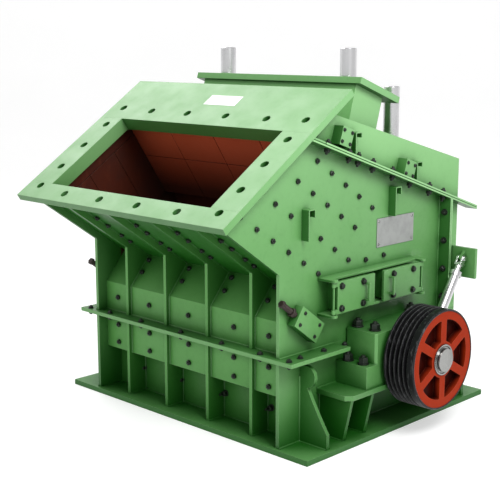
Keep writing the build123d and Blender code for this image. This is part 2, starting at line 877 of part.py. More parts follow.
def pulley_hub():
    """Bush that clamps the wheel on the shaft, with a recess round the shaft's end."""
    bore = shaft_radius + clearance
    outer = pulley_inner_x + pulley_width + bush_proud
    lip = bush_radius - bush_lip
    return turned([(pulley_inner_x, bore), (pulley_inner_x, bush_radius), (outer, bush_radius),
                   (outer, lip), (outer - bush_recess, lip), (outer - bush_recess, bore)])


# Bearings

def bearing_seat():
    edge = half_width + seat_reach
    plan = block(half_width, edge, shaft_y - seat_half, shaft_y + seat_half, seat_top - seat_thick, seat_top)
    return chamfer(plan.edges().filter_by(Axis.Z).group_by(Axis.X)[-1], seat_chamfer)


def seat_gussets():
    """Tapered plates under the bearing seats."""
    low = seat_top - seat_thick
    face = make_face(Polyline((half_width, base_thick), (half_width + gusset_foot, base_thick),
                              (half_width + seat_reach - gusset_edge, low), (half_width, low), close=True))
    return both_sides(together(*[cross_plate(face, shaft_y + side * offset, plate)
                                 for side in (-1, 1) for offset in gusset_offsets]))


def bearing_housing():
    edge = half_width + foot_reach
    foot_top = seat_top + foot_height
    foot = block(half_width, edge, shaft_y - foot_half, shaft_y + foot_half, seat_top, foot_top)
    cap = block(half_width, edge, shaft_y - cap_block_half, shaft_y + cap_block_half,
                foot_top, foot_top + cap_block_height)
    cap = chamfer(cap.edges().filter_by(Axis.Z), cap_block_chamfer)
    return foot + cap - round_x(shaft_centre, shaft_radius + clearance, 0, far)


def corner_gussets():
    """Curved plates on the base, each with a round head."""
    toe = (half_width + gusset_toe[0], gusset_toe[1])
    hip = (half_width + gusset_hip[0], gusset_hip[1])
    waist = (half_width + gusset_waist[0], gusset_waist[1])
    rest = Polyline(waist, (half_width, waist[1]), (half_width, base_thick), (toe[0], base_thick), toe)
    face = make_face([Spline(toe, hip, waist), rest])
    head = Pos(half_width + gusset_head[0], gusset_head[1]) * Circle(gusset_head_radius)
    head &= Pos(half_width + far / 2, 0) * Rectangle(far, far)
    places = (shaft_y - seat_half - gusset_set[0], shaft_y + seat_half + gusset_set[1])
    return both_sides(together(*[cross_plate(face + head, y, plate) for y in places]))


# Inspection doors

def door_ports():
    """Middle and length of each port, along Y."""
    return [(shaft_y + (low + high) / 2, high - low - 2 * port_margin) for low, high in door_spans]


def pin_y(front):
    """Hinge pin of the front or of the rear door."""
    return shaft_y + (door_spans[0][0] - hinge_set if front else door_spans[1][1] + hinge_set)


def door_frame():
    """Boxes round the two ports, long ledges above and below, and the hinge pins."""
    face = half_width + door_face - joint_gap
    frame = ledge(door_low - ledge_gap - ledge_thick) + ledge(door_high + ledge_gap)
    for centre, length in door_ports():
        low = centre - length / 2
        high = centre + length / 2
        frame += block(half_width, face, low - port_wall, high + port_wall, port_low - port_wall,
                       port_high + port_wall)
        frame -= block(0, far, low, high, port_low, port_high)
    span = door_height + 2 * ledge_gap + 2 * ledge_thick
    for front in (True, False):
        frame += Pos(pin_x, pin_y(front), (door_low + door_high) / 2) * Cylinder(door_pin, span)
    return frame


def ledge(low):
    """Strip along both doors that carries the pins at its rounded ends."""
    ends = (pin_y(True), pin_y(False))
    strip = block(half_width, half_width + ledge_reach, ends[0] - ledge_head, ends[1] + ledge_head,
                  low, low + ledge_thick)
    for y in ends:
        strip += block(half_width, pin_x, y - ledge_head, y + ledge_head, low, low + ledge_thick)
        strip += Pos(pin_x, y, low + ledge_thick / 2) * Cylinder(ledge_head, ledge_thick)
    return strip


def door(front):
    """Leaf with a handle, hung on a knuckle at its top and one at its bottom."""
    low, high = (shaft_y + end for end in door_spans[0 if front else 1])
    hinge = pin_y(front)
    face = half_width + door_face
    leaf = block(face, face + door_thick, low, high, door_low, door_high)
    arm = sorted((hinge, low if front else high))
    for bottom in (door_low, door_high - knuckle_height):
        leaf += block(face, face + door_thick, *arm, bottom, bottom + knuckle_height)
        leaf += Pos(pin_x, hinge, bottom + knuckle_height / 2) * Cylinder(door_knuckle, knuckle_height)
    leaf -= Pos(pin_x, hinge, door_low) * Cylinder(door_pin + clearance, far)
    grip = high - handle_set[0] if front else low + handle_set[1]
    return leaf + handle(face + door_thick, grip)


def handle(x, y):
    """Flat bar bent twice, its legs on the leaf."""
    low = (door_low + door_high - handle_length) / 2 - handle_bar
    grip = block(x, x + handle_proud, y - handle_width / 2, y + handle_width / 2,
                 low, low + handle_length + 2 * handle_bar)
    return grip - block(x, x + handle_proud - handle_bar, y - handle_width, y + handle_width,
                        low + handle_bar, low + handle_bar + handle_length)


# Cylinders

def cylinder_axis():
    """Length between the pins of a closed cylinder, and its angle in the side view."""
    run = cylinder_high[0] - cylinder_low[0]
    rise = cylinder_high[1] - cylinder_low[1]
    return hypot(run, rise), atan2(rise, run)


def axis_point(distance):
    """Point of the side view a distance above the lower pin."""
    angle = cylinder_axis()[1]
    return (cylinder_low[0] + distance * cos(angle), cylinder_low[1] + distance * sin(angle))


def axis_round(distance, radius, length):
    """Cylinder on the lifting axis, starting a distance above the lower pin."""
    angle = cylinder_axis()[1]
    face = Plane(origin=(cylinder_x, *axis_point(distance)), z_dir=(0, cos(angle), sin(angle)))
    return extrude(face * Circle(radius), length)


def cylinder_barrel():
    body = round_x(cylinder_low, eye_radius, cylinder_x - eye_width / 2, cylinder_x + eye_width / 2)
    body += axis_round(cylinder_pin, neck_radius, barrel_start)
    body += axis_round(barrel_start, barrel_radius, barrel_length)
    body += axis_round(barrel_start + barrel_length - barrel_collar, barrel_radius + collar_proud,
                       barrel_collar)
    body -= axis_round(barrel_start + rod_start / 2, piston_radius + clearance, far)
    return body - round_x(cylinder_low, cylinder_pin + clearance, 0, far)


def cylinder_rod():
    """Rod with its fork; the fork straddles the bracket's lug."""
    total, angle = cylinder_axis()
    base = total - fork_gap - lug_radius
    start = barrel_start + rod_start
    half = tongue / 2 + lug_gap + tine
    body = axis_round(start, piston_radius, base - start)
    body += tilted(axis_point(base - fork_base / 2), degrees(angle), fork_base, 2 * piston_radius,
                   cylinder_x - half, cylinder_x + half)
    for side in (-1, 1):
        low, high = sorted((cylinder_x + side * (half - tine), cylinder_x + side * half))
        body += tilted(axis_point((base + total) / 2), degrees(angle), total - base,
                       2 * piston_radius, low, high)
        body += round_x(cylinder_high, piston_radius, low, high)
        low, high = sorted((cylinder_x + side * half, cylinder_x + side * (half + fork_pin_head)))
        body += round_x(cylinder_high, cylinder_pin, low, high)
    return body


def cylinder_brackets():
    """Plates on the cover's rear section that the rods push on."""
    y, z = cylinder_high
    low = z - bracket_drop
    high = z + bracket_rise
    back = y + bracket_set
    bracket = block(half_width, half_width + bracket_reach, back, back + plate, low, high)
    bracket += round_x(cylinder_high, lug_radius, cylinder_x - tongue / 2, cylinder_x + tongue / 2)
    bracket += prism([(y, z + lug_radius), (back, z + bracket_root[1]), (back, z + bracket_root[0]),
                      (y, z - lug_radius)], cylinder_x - tongue / 2, cylinder_x + tongue / 2)
    rear = rear_face - stay_inset
    bracket += prism([(back + plate, low + stay_inset), (back + plate, high - stay_inset),
                      (rear, high - stay_inset - stay_taper), (rear, low + stay_inset + stay_taper)],
                     half_width, half_width + lug_thick)
    return both_sides(bracket)


def cylinder_feet():
    """Shelves with two lugs and a pin each, behind the bearings."""
    y, z = cylinder_low
    near = eye_width / 2 + lug_gap
    outside = near + lug_thick
    foot = block(half_width, cylinder_x + outside, y - shelf_half, y + shelf_half,
                 split_low - shelf_thick, split_low)
    foot += round_x(cylinder_low, cylinder_pin, cylinder_x - outside - pin_head,
                    cylinder_x + outside + pin_head)
    for side in (-1, 1):
        low, high = sorted((cylinder_x + side * near, cylinder_x + side * outside))
        foot += block(low, high, y - lug_eye, y + lug_eye, split_low, z)
        foot += round_x(cylinder_low, lug_eye, low, high)
    return both_sides(foot)


# Small plates on the sides

def hook(y, rise):
    """Lifting hook: a wide strap set on edge and bent over, its lip turned down at the rear."""
    top = on_bar(y)[1] + rise
    low = top - hook_height
    nose = y + hook_length
    under = top - hook_strap
    outline = [(y, low), (y, top), (nose, top), (nose, top - hook_lip),
               (nose - hook_strap, top - hook_lip), (nose - hook_strap, under),
               (y + hook_strap, under), (y + hook_strap, low)]
    return prism(outline, half_width, half_width + hook_reach)


def side_hooks():
    return both_sides(together(*[hook(*place) for place in side_hook_places]))


def cover_hooks():
    return both_sides(together(*[hook(*place) & above_bars() for place in cover_hook_places]))


def jack_blocks():
    """Tilted blocks with a screw that meets their upper end."""
    centre = (jack_y, split_top + jack_rise)
    slope = radians(jack_angle)
    edge = half_width + jack_proud
    piece = tilted(centre, jack_angle, jack_length, jack_width, half_width, edge)
    start = (centre[0] - jack_length / 2 * cos(slope), centre[1] - jack_length / 2 * sin(slope))
    face = Plane(origin=((half_width + edge) / 2, *start), z_dir=(0, -cos(slope), -sin(slope)))
    piece += extrude(face * Circle(screw_radius), screw_length)
    return both_sides(piece + extrude(face.offset(screw_length) * RegularPolygon(screw_head, 6), screw_head))


def name_plate():
    middle = on_bar(sum(name_plate_y) / 2)[1] - name_plate_drop
    return block(half_width, half_width + name_plate_thick, *name_plate_y,
                 middle - name_plate_height / 2, middle + name_plate_height / 2)


def front_apron_set():
    """Apron below the chute and the two rods that adjust it."""
    bends = [(shaft_y + y, z) for y, z in front_bends]
    foot = rod_foot(front_rod_y, front_pivot(), bends)
    behind_edge = front_rod_y - neck_front_y - cap_set
    top = cap_point(0, 0)[1] - behind_edge * tan(radians(cap_angle)) + front_rod_proud
    return apron(front_pivot(), bends, front_rod_y, foot), rods(front_rod_y, top, foot)


def rear_apron_set():
    """Apron in the rear half and the two rods that adjust it."""
    bends = [(shaft_y + y, z) for y, z in rear_bends]
    foot = rod_foot(rear_rod_y, rear_pivot(), bends)
    top = on_roof(rear_rod_y)[1] + rear_rod_proud
    return apron(rear_pivot(), bends, rear_rod_y, foot), rods(rear_rod_y, top, foot)


front_apron, front_rods = front_apron_set()
rear_apron, rear_rods = rear_apron_set()

nodes = {
    "base_plate": base_plate(),
    "lower_sides": both_sides(lower_side()),
    "lower_front_wall": lower_front_wall(),
    "lower_rear_wall": lower_rear_wall(),
    "lower_ribs": lower_ribs(),
    "split_flange": split_flange(),
    "middle_sides": both_sides(middle_side()),
    "middle_front_wall": middle_front_wall(),
    "upper_ribs": upper_ribs(),
    "flange_bars": both_sides(fixed_bars()),
    "cheeks": both_sides(cheek()),
    "feed_flange_bottom": flange_bottom(),
    "feed_flange_top": flange_top(),
    "feed_flange_sides": both_sides(flange_side()),
    "chute_back_wall": chute_back_wall(),
    "chute_liners": chute_liners(),
    "side_liners": both_sides(side_liners()),
    "bearing_seats": both_sides(bearing_seat()),
    "seat_gussets": seat_gussets(),
    "bearing_housings": both_sides(bearing_housing()),
    "corner_gussets": corner_gussets(),
    "door_frames": both_sides(door_frame()),
    "side_hooks": side_hooks(),
    "jack_blocks": jack_blocks(),
    "name_plate": name_plate(),
    "base_hinges": together(base_hinge(-hinge_x), base_hinge(hinge_x)),
    "cylinder_feet": cylinder_feet(),
    "cover_sides": both_sides(cover_side()),
    "cover_bars": both_sides(cover_bars()),
    "cover_front_wall": cover_front_wall(),
    "roof_plate": roof_plate(),
    "rear_wall": rear_wall(),
    "neck": neck(),
    "cap_plate": cap_plate(),
    "front_rods": front_rods,
    "rear_rods": rear_rods,
    "front_apron": front_apron,
    "rear_apron": rear_apron,
    "apron_shafts": apron_shafts(),
    "pivot_blocks": pivot_blocks(),
    "cover_hooks": cover_hooks(),
    "cover_hinges": together(cover_hinge(-hinge_x), cover_hinge(hinge_x)),
    "cylinder_brackets": cylinder_brackets(),
    "rotor_shaft": rotor_shaft(),
    "rotor_body": rotor_body(),
    "blow_bars": blow_bar_blocks(),
    "pulley_rim": pulley_rim(),
    "pulley_wheel": pulley_wheel(),
    "pulley_hub": pulley_hub(),
}
pairs = {"front_door": door(True), "rear_door": door(False),
         "cylinder_barrel": cylinder_barrel(), "cylinder_rod": cylinder_rod()}
for name, shape in pairs.items():
    nodes[name + "_right"] = shape
    nodes[name + "_left"] = other_side(shape)

os.makedirs("parts", exist_ok=True)
for name, shape in nodes.items():
    export_step(shape, os.path.join("parts", name + ".step"))
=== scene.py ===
import json
from math import atan2, cos, pi, radians, sin, tan

import bmesh
import bpy
from mathutils import Matrix, Vector


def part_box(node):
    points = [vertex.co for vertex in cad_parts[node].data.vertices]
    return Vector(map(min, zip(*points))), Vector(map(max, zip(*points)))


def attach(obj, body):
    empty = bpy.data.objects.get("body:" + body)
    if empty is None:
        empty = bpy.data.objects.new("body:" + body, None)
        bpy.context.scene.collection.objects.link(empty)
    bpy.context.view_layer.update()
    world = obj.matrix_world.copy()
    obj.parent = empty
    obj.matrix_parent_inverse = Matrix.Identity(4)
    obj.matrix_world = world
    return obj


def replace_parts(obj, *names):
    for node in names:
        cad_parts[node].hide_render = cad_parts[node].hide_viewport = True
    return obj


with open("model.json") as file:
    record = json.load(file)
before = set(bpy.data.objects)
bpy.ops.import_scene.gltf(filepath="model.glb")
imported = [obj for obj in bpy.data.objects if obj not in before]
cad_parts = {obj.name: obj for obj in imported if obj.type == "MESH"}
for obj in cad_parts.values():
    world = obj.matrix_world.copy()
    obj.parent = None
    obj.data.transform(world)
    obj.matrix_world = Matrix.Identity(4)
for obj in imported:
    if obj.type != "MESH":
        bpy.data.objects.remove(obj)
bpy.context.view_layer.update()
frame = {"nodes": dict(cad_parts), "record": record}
scene = bpy.context.scene
nodes = frame["nodes"]
mounts = {m["name"]: m for m in frame["record"]["mounts"]}
print("stage: frame loaded,", len(nodes), "nodes")

# faces of the machine that the small pieces sit on, read from the frame, in metres
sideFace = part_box("middle_sides")[1].x
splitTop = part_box("split_flange")[1].z
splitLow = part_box("split_flange")[0].z
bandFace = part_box("lower_front_wall")[0].y
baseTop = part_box("base_plate")[1].z
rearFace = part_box("rear_wall")[1].y
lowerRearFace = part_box("lower_rear_wall")[1].y
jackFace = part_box("jack_blocks")[1].x
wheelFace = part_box("pulley_wheel")[1].x
barMiddle = (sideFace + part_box("flange_bars")[1].x) / 2
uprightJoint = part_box("flange_bars")[1].y
jointStart = (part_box("cheeks")[0].y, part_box("flange_bars")[1].z)
shaftY, shaftZ = mounts["drive_shaft_end"]["pos_m"][1:]

# slopes and corners that no box gives, as the part has them
wallFace = 0.2                        # recessed wall between the lower ribs
halfPlate = 0.0125
barThick = 0.013
barSlope = radians(18.52)             # inclined split, falling to the rear
barUp = Vector((0, sin(barSlope), cos(barSlope)))
chuteSlope = radians(34.8)            # underside of the chute, rising to the front
chuteDown = Vector((0, -sin(chuteSlope), -cos(chuteSlope)))
chuteLine = 1.222                     # height of the chute floor's upper side at y = 0
chuteEnd = (-0.464, 1.5209)           # where its underside meets the feed flange
panelSlope = radians(49.9)            # sloped panel above the band
panelUp = Vector((0, -sin(panelSlope), cos(panelSlope)))
panelFoot = (bandFace, 0.821)
panelTop = (0.2497, 1.0249)
flangeNormal = Vector(mounts["feed_bolt_bottom_3"]["axis"])
flangeSlope = atan2(-flangeNormal.y, flangeNormal.z)
flangeUp = Vector((0, cos(flangeSlope), sin(flangeSlope)))
flangeFoot = Vector((0, -0.571, 1.504))
roofSlope = radians(15.24)            # falls to the rear
neckLean = radians(16.5)              # from upright, towards the rear
neckFeet = ((0.850, 1.9857), (1.137, 1.9075))
jackCentre = (0.210, 0.805)
jackSlope = radians(-36.5)


def jointZ(y):
    return jointStart[1] - (y - jointStart[0]) * tan(barSlope)


def roofZ(y):
    return neckFeet[0][1] - (y - neckFeet[0][0]) * tan(roofSlope)


def onFlange(x, along, proud=0.0):
    return flangeFoot + Vector((x, 0, 0)) + flangeUp * along + flangeNormal * proud


def bothSides(places):
    return [Vector((side * p[0], p[1], p[2])) for p in places for side in (1, -1)]


# materials: every one is built from nodes on Object coordinates

class Finish:
    # small helper that keeps the node links readable
    def __init__(self, name):
        self.material = bpy.data.materials.new(name)
        self.material.use_nodes = True
        self.tree = self.material.node_tree
        self.tree.nodes.clear()
        self.surface = self.add("ShaderNodeBsdfPrincipled")
        out = self.add("ShaderNodeOutputMaterial")
        self.link(self.surface.outputs["BSDF"], out.inputs["Surface"])
        self.coords = self.add("ShaderNodeTexCoord")
        self.place = self.coords.outputs["Object"]

    def add(self, kind, **settings):
        made = self.tree.nodes.new(kind)
        for key, value in settings.items():
            setattr(made, key, value)
        return made

    def link(self, source, target):
        self.tree.links.new(source, target)

    def fixed(self, **sockets):
        for key, value in sockets.items():
            self.surface.inputs[key.replace("_", " ")].default_value = value

    def noise(self, scale, detail=4.0, roughness=0.55, stretch=None):
        made = self.add("ShaderNodeTexNoise")
        made.inputs["Scale"].default_value = scale
        made.inputs["Detail"].default_value = detail
        made.inputs["Roughness"].default_value = roughness
        source = self.place
        if stretch:
            mapping = self.add("ShaderNodeMapping")
            mapping.inputs["Scale"].default_value = stretch
            self.link(self.place, mapping.inputs["Vector"])
            source = mapping.outputs["Vector"]
        self.link(source, made.inputs["Vector"])
        return made.outputs["Fac"]

    def ramp(self, source, low, high, start=0.0, end=1.0):
        made = self.add("ShaderNodeMapRange")
        for key, value in zip(("From Min", "From Max", "To Min", "To Max"), (low, high, start, end)):
            made.inputs[key].default_value = value
        self.link(source, made.inputs["Value"])
        return made.outputs["Result"]

    def mix(self, factor, first, second):
        # sockets 0, 6 and 7 of the node are the factor and the two colours
        made = self.add("ShaderNodeMix", data_type="RGBA")
        for number, value in ((0, factor), (6, first), (7, second)):
            if isinstance(value, bpy.types.NodeSocket):
                self.link(value, made.inputs[number])
            else:
                made.inputs[number].default_value = (*value, 1.0)
        return made.outputs[2]

    def shade(self, reach):
        # ambient occlusion, used to paint shade into the colour
        made = self.add("ShaderNodeAmbientOcclusion", samples=8)
        made.inputs["Distance"].default_value = reach
        return made.outputs["AO"]

    def split(self, source, letter):
        made = self.add("ShaderNodeSeparateXYZ")
        self.link(source, made.inputs[0])
        return made.outputs[letter]

    def axis(self, letter):
        return self.split(self.place, letter)

    def facing(self, letter="Z"):
        # 1 on faces that look along the axis, 0 beside it, -1 on the far side
        return self.split(self.coords.outputs["Normal"], letter)

    def along(self, direction):
        made = self.add("ShaderNodeVectorMath", operation="DOT_PRODUCT")
        self.link(self.place, made.inputs[0])
        made.inputs[1].default_value = direction
        return made.outputs["Value"]

    def inward(self, centre, low, high):
        # 1 on faces that look towards the middle of the machine
        away = self.add("ShaderNodeVectorMath", operation="SUBTRACT")
        self.link(self.place, away.inputs[0])
        away.inputs[1].default_value = centre
        return self.ramp(self.dot(away.outputs["Vector"], self.coords.outputs["Normal"]), low, high)

    def dot(self, first, second):
        made = self.add("ShaderNodeVectorMath", operation="DOT_PRODUCT")
        self.link(first, made.inputs[0])
        self.link(second, made.inputs[1])
        return made.outputs["Value"]

    def both(self, first, second, operation="MULTIPLY"):
        # two values made into one: their product, or the larger with MAXIMUM
        made = self.add("ShaderNodeMath", operation=operation)
        self.link(first, made.inputs[0])
        self.link(second, made.inputs[1])
        return made.outputs["Value"]

    def edges(self, radius):
        # how far the rounded normal leans from the flat one: high along edges, where wear and a painted
        # highlight go
        rounded = self.add("ShaderNodeBevel", samples=4)
        rounded.inputs["Radius"].default_value = radius
        flat = self.add("ShaderNodeNewGeometry")
        lean = self.dot(rounded.outputs["Normal"], flat.outputs["Normal"])
        return rounded.outputs["Normal"], self.ramp(lean, 0.995, 0.8)

    def bump(self, source, depth, strength=1.0, normal=None):
        made = self.add("ShaderNodeBump")
        made.inputs["Distance"].default_value = depth
        made.inputs["Strength"].default_value = strength
        self.link(source, made.inputs["Height"])
        if normal is not None:
            self.link(normal, made.inputs["Normal"])
        return made.outputs["Normal"]

    def paint(self, colour=None, rough=None, normal=None):
        for key, value in (("Base Color", colour), ("Roughness", rough), ("Normal", normal)):
            if value is not None:
                self.link(value, self.surface.inputs[key])
        return self.material


# shares run from 0 to 1; shade is painted shade in corners: the reach, the low and high end and the
# share of the dark colour there; depthShade paints shade, darker along an axis; highLight paints light
# on what faces right, more and more between two heights; top and its share paint light on faces that
# look up, underShare and frontShare paint shade on faces that look down and forward, and the edge colour
# is partly wear, partly a painted highlight; inner faces get bare steel, dark as painted shade

greenPaintSettings = {
    "main": (0.108, 0.290, 0.085),
    "pale": (0.135, 0.335, 0.110),
    "deep": (0.006, 0.080, 0.004),
    "top": (0.170, 0.360, 0.140),
    "edge": (0.28, 0.50, 0.24),
    "high": (0.20, 0.41, 0.175),
    "shadedBare": (0.030, 0.010, 0.006),
    "patchScale": 1.3,
    "grainScale": 26.0,
    "grain": 0.10,
    "peelScale": 240.0,
    "peelDepth": 0.00025,
    "edgeRadius": 0.0045,
    "wearAndHighlight": 0.6,
    "shade": (0.45, 0.25, 0.82, 0.92),
    "topShare": 0.2,
    "underShare": 0.90,
    "frontShare": 0.0,
    "depthShade": ("Z", 0.50, 0.0, 0.85),
    "highLight": (1.35, 2.05, 0.75),
    "seam": None,
    "inside": None,
    "ior": 1.42,
    "coat": 0.05,
    "coatRoughness": 0.22,
    "roughness": (0.36, 0.48),
}


def addSeam(f, colour, s):
    # dark joint between two bars that are bolted face to face
    across, level, half = s["seam"]
    away = f.ramp(f.along(across), level - half, level + half, -1.0, 1.0)
    return f.mix(f.ramp(f.both(away, away), 0.95, 0.4, 0.0, 0.95), colour, s["deep"])


def addInside(f, colour, s):
    # bare steel, darkened as painted shade, behind the front walls only, because the side plates stand
    # proud of them
    centre, low, high, reach = s["inside"]
    blend = 0.01
    behind = f.ramp(f.along((0, 1, 0)), wallFace + blend, wallFace + 2 * blend)
    above = f.ramp(f.along((0, tan(chuteSlope), 1)), chuteLine, chuteLine + blend)
    within = f.both(behind, above, "MAXIMUM")
    across = f.along((1, 0, 0))
    within = f.both(within, f.ramp(f.both(across, across), reach ** 2, (reach - blend) ** 2))
    return f.mix(f.both(within, f.inward(centre, low, high)), colour, s["shadedBare"])


def makeGreenPaint(name, s):
    f = Finish(name)
    patches = f.ramp(f.noise(s["patchScale"], 3.0), 0.35, 0.7)
    colour = f.mix(patches, s["main"], s["pale"])
    grain = f.ramp(f.noise(s["grainScale"], 5.0, 0.6), 0.5, 0.75, 0.0, s["grain"])
    colour = f.mix(grain, colour, s["deep"])
    # painted shade: darker along an axis, towards the floor on most greens
    letter, high, low, share = s["depthShade"]
    colour = f.mix(f.ramp(f.axis(letter), high, low, 0.0, share), colour, s["deep"])
    # painted light on faces that look right, more and more between two heights
    low, high, share = s["highLight"]
    lit = f.both(f.ramp(f.axis("Z"), low, high, 0.0, share), f.ramp(f.facing("X"), 0.3, 0.9))
    colour = f.mix(lit, colour, s["high"])
    # painted light on faces that look up; painted shade where the top colour is dark
    facing = f.facing()
    colour = f.mix(f.ramp(facing, 0.25, 0.95, 0.0, s["topShare"]), colour, s["top"])
    # painted shade on faces that look down
    colour = f.mix(f.ramp(facing, -0.05, -0.75, 0.0, s["underShare"]), colour, s["deep"])
    # painted shade on faces that look forward
    colour = f.mix(f.ramp(f.facing("Y"), -0.4, -0.9, 0.0, s["frontShare"]), colour, s["deep"])
    # edges lightened: partly wear, partly a painted highlight
    normal, wearAndHighlight = f.edges(s["edgeRadius"])
    colour = f.mix(f.ramp(wearAndHighlight, 0.0, 1.0, 0.0, s["wearAndHighlight"]), colour, s["edge"])
    # painted shade in corners and recesses, from the occlusion
    reach, low, high, share = s["shade"]
    colour = f.mix(f.ramp(f.shade(reach), low, high, share, 0.0), colour, s["deep"])
    if s["seam"]:
        colour = addSeam(f, colour, s)
    # inner faces: bare steel, dark as painted shade
    if s["inside"]:
        colour = addInside(f, colour, s)
    rough = f.ramp(f.noise(s["grainScale"] / 4, 3.0), 0.3, 0.7, *s["roughness"])
    f.fixed(Metallic=0.0, IOR=s["ior"], Coat_Weight=s["coat"], Coat_Roughness=s["coatRoughness"])
    return f.paint(colour, rough, f.bump(f.noise(s["peelScale"], 2.0), s["peelDepth"], 0.5, normal))


machineMiddle = (0.0, 0.95, 0.90)     # inside the housing, over the shaft: inner faces look here
shellGreenSettings = dict(greenPaintSettings, inside=(machineMiddle, -0.01, -0.05, sideFace - 0.002))
doorGreenSettings = dict(greenPaintSettings, inside=(machineMiddle, -0.60, -0.70, sideFace + 0.30))
# trim: less painted shade in corners, and painted shade on faces that look forward
trimGreenSettings = dict(greenPaintSettings, shade=(0.12, 0.15, 0.75, 0.85), frontShare=0.82)
frameGreenSettings = dict(trimGreenSettings, inside=shellGreenSettings["inside"])
# a lighter copy of the shell's green: painted light on the cover
coverGreenSettings = dict(shellGreenSettings, main=(0.150, 0.385, 0.118), pale=(0.172, 0.420, 0.140),
                          high=(0.25, 0.48, 0.215))
# the cover's lighter copy, with less painted shade in its corners
neckGreenSettings = dict(coverGreenSettings, inside=None, shade=(0.25, 0.15, 0.70, 0.80))
# painted highlight on every face that looks right; the seam is the dark joint between the bars
barGreenSettings = dict(trimGreenSettings, highLight=(-1.0, -0.5, 0.9), high=(0.27, 0.52, 0.23),
                        seam=(barUp, barUp.dot((0, *jointStart)), 0.0034), edgeRadius=0.0030,
                        shade=(0.10, 0.10, 0.80, 0.95))
# a dark top colour: painted shade on the flange's upper face, and more painted shade in corners
flangeGreenSettings = dict(trimGreenSettings, top=(0.040, 0.145, 0.030), topShare=0.45,
                           frontShare=0.0, shade=(0.22, 0.30, 0.95, 0.92))
# front walls: less painted shade towards the floor than the other greens
frontGreenSettings = dict(shellGreenSettings, main=(0.098, 0.300, 0.070), pale=(0.118, 0.335, 0.090),
                          ior=1.28, depthShade=("Z", 0.50, 0.0, 0.50), shade=(0.45, 0.25, 0.82, 0.88))
ribGreenSettings = dict(frontGreenSettings, inside=None)
# a lighter main colour as painted light on the base, and more painted shade in its corners
baseGreenSettings = dict(ribGreenSettings, main=(0.120, 0.340, 0.095), pale=(0.140, 0.370, 0.115),
                         depthShade=("Z", 0.50, 0.0, 0.30), shade=(0.30, 0.42, 1.0, 0.97))
# a darker copy: painted shade on the gussets, and on their front faces
gussetGreenSettings = dict(greenPaintSettings, ior=1.30, frontShare=0.35, main=(0.064, 0.200, 0.050))
# painted shade darkens the pockets inward along X; the top colour is painted light; the edges are wear
# and a painted highlight
wheelRedSettings = dict(greenPaintSettings, main=(0.290, 0.021, 0.003), pale=(0.320, 0.027, 0.005),
                        deep=(0.014, 0.0012, 0.001), edge=(0.56, 0.13, 0.07), top=(0.34, 0.035, 0.014),
                        shade=(0.10, 0.30, 0.88, 0.90), edgeRadius=0.004, ior=1.12, coat=0.0,
                        depthShade=("X", wheelFace - 0.014, wheelFace - 0.044, 0.93),
                        highLight=(5.0, 6.0, 0.0))

# underLight paints light on the plates that face down into the chute: a brighter red on them

linerSteelSettings = {
    "main": (0.440, 0.082, 0.034),
    "dark": (0.270, 0.052, 0.023),
    "bright": (0.46, 0.140, 0.070),
    # painted shade colour, used deep in the chute and in corners
    "deep": (0.012, 0.0035, 0.002),
    "depthShade": ("Y", 0.16, 0.60, 0.95),
    "underLight": (-0.2, -0.6, 0.0, (0.88, 0.170, 0.072)),
    "scale": 5.0,
    "stain": 0.75,
    "scuff": 0.35,
    "pitScale": 60.0,
    "pitDepth": 0.0012,
    "edgeRadius": 0.004,
    "shade": (0.35, 0.15, 0.80, 0.80),
    "roughness": (0.40, 0.60),
    "metallic": 0.25,
    "ior": 1.5,
}


def makeWornSteel(name, s):
    f = Finish(name)
    stains = f.ramp(f.noise(s["scale"], 6.0, 0.6), 0.40, 0.75, 0.0, s["stain"])
    colour = f.mix(stains, s["main"], s["dark"])
    scuffs = f.ramp(f.noise(s["scale"] * 4, 6.0, 0.6, (1, 1, 0.2)), 0.56, 0.74, 0.0, s["scuff"])
    colour = f.mix(scuffs, colour, s["bright"])
    # edges lightened: partly wear, partly a painted highlight
    normal, wearAndHighlight = f.edges(s["edgeRadius"])
    colour = f.mix(f.ramp(wearAndHighlight, 0.0, 1.0, 0.0, 0.7), colour, s["bright"])
    # painted light on faces that look down
    low, high, share, lit = s["underLight"]
    colour = f.mix(f.ramp(f.facing(), low, high, 0.0, share), colour, lit)
    # painted shade: darker along an axis, deeper into the chute on the liners
    letter, high, low, share = s["depthShade"]
    colour = f.mix(f.ramp(f.axis(letter), high, low, 0.0, share), colour, s["deep"])
    # painted shade in corners and recesses, from the occlusion
    reach, low, high, share = s["shade"]
    colour = f.mix(f.ramp(f.shade(reach), low, high, share, 0.0), colour, s["deep"])
    rough = f.ramp(stains, 0.0, 1.0, *s["roughness"])
    f.fixed(Metallic=s["metallic"], IOR=s["ior"])
    return f.paint(colour, rough, f.bump(f.noise(s["pitScale"], 5.0), s["pitDepth"], 0.6, normal))


# a darker copy of the liner steel: painted shade on the side liners and aprons
sideLinerSettings = dict(linerSteelSettings, main=(0.130, 0.026, 0.012), dark=(0.060, 0.014, 0.007),
                         bright=(0.26, 0.075, 0.036), depthShade=("Y", -0.35, 0.50, 0.70))
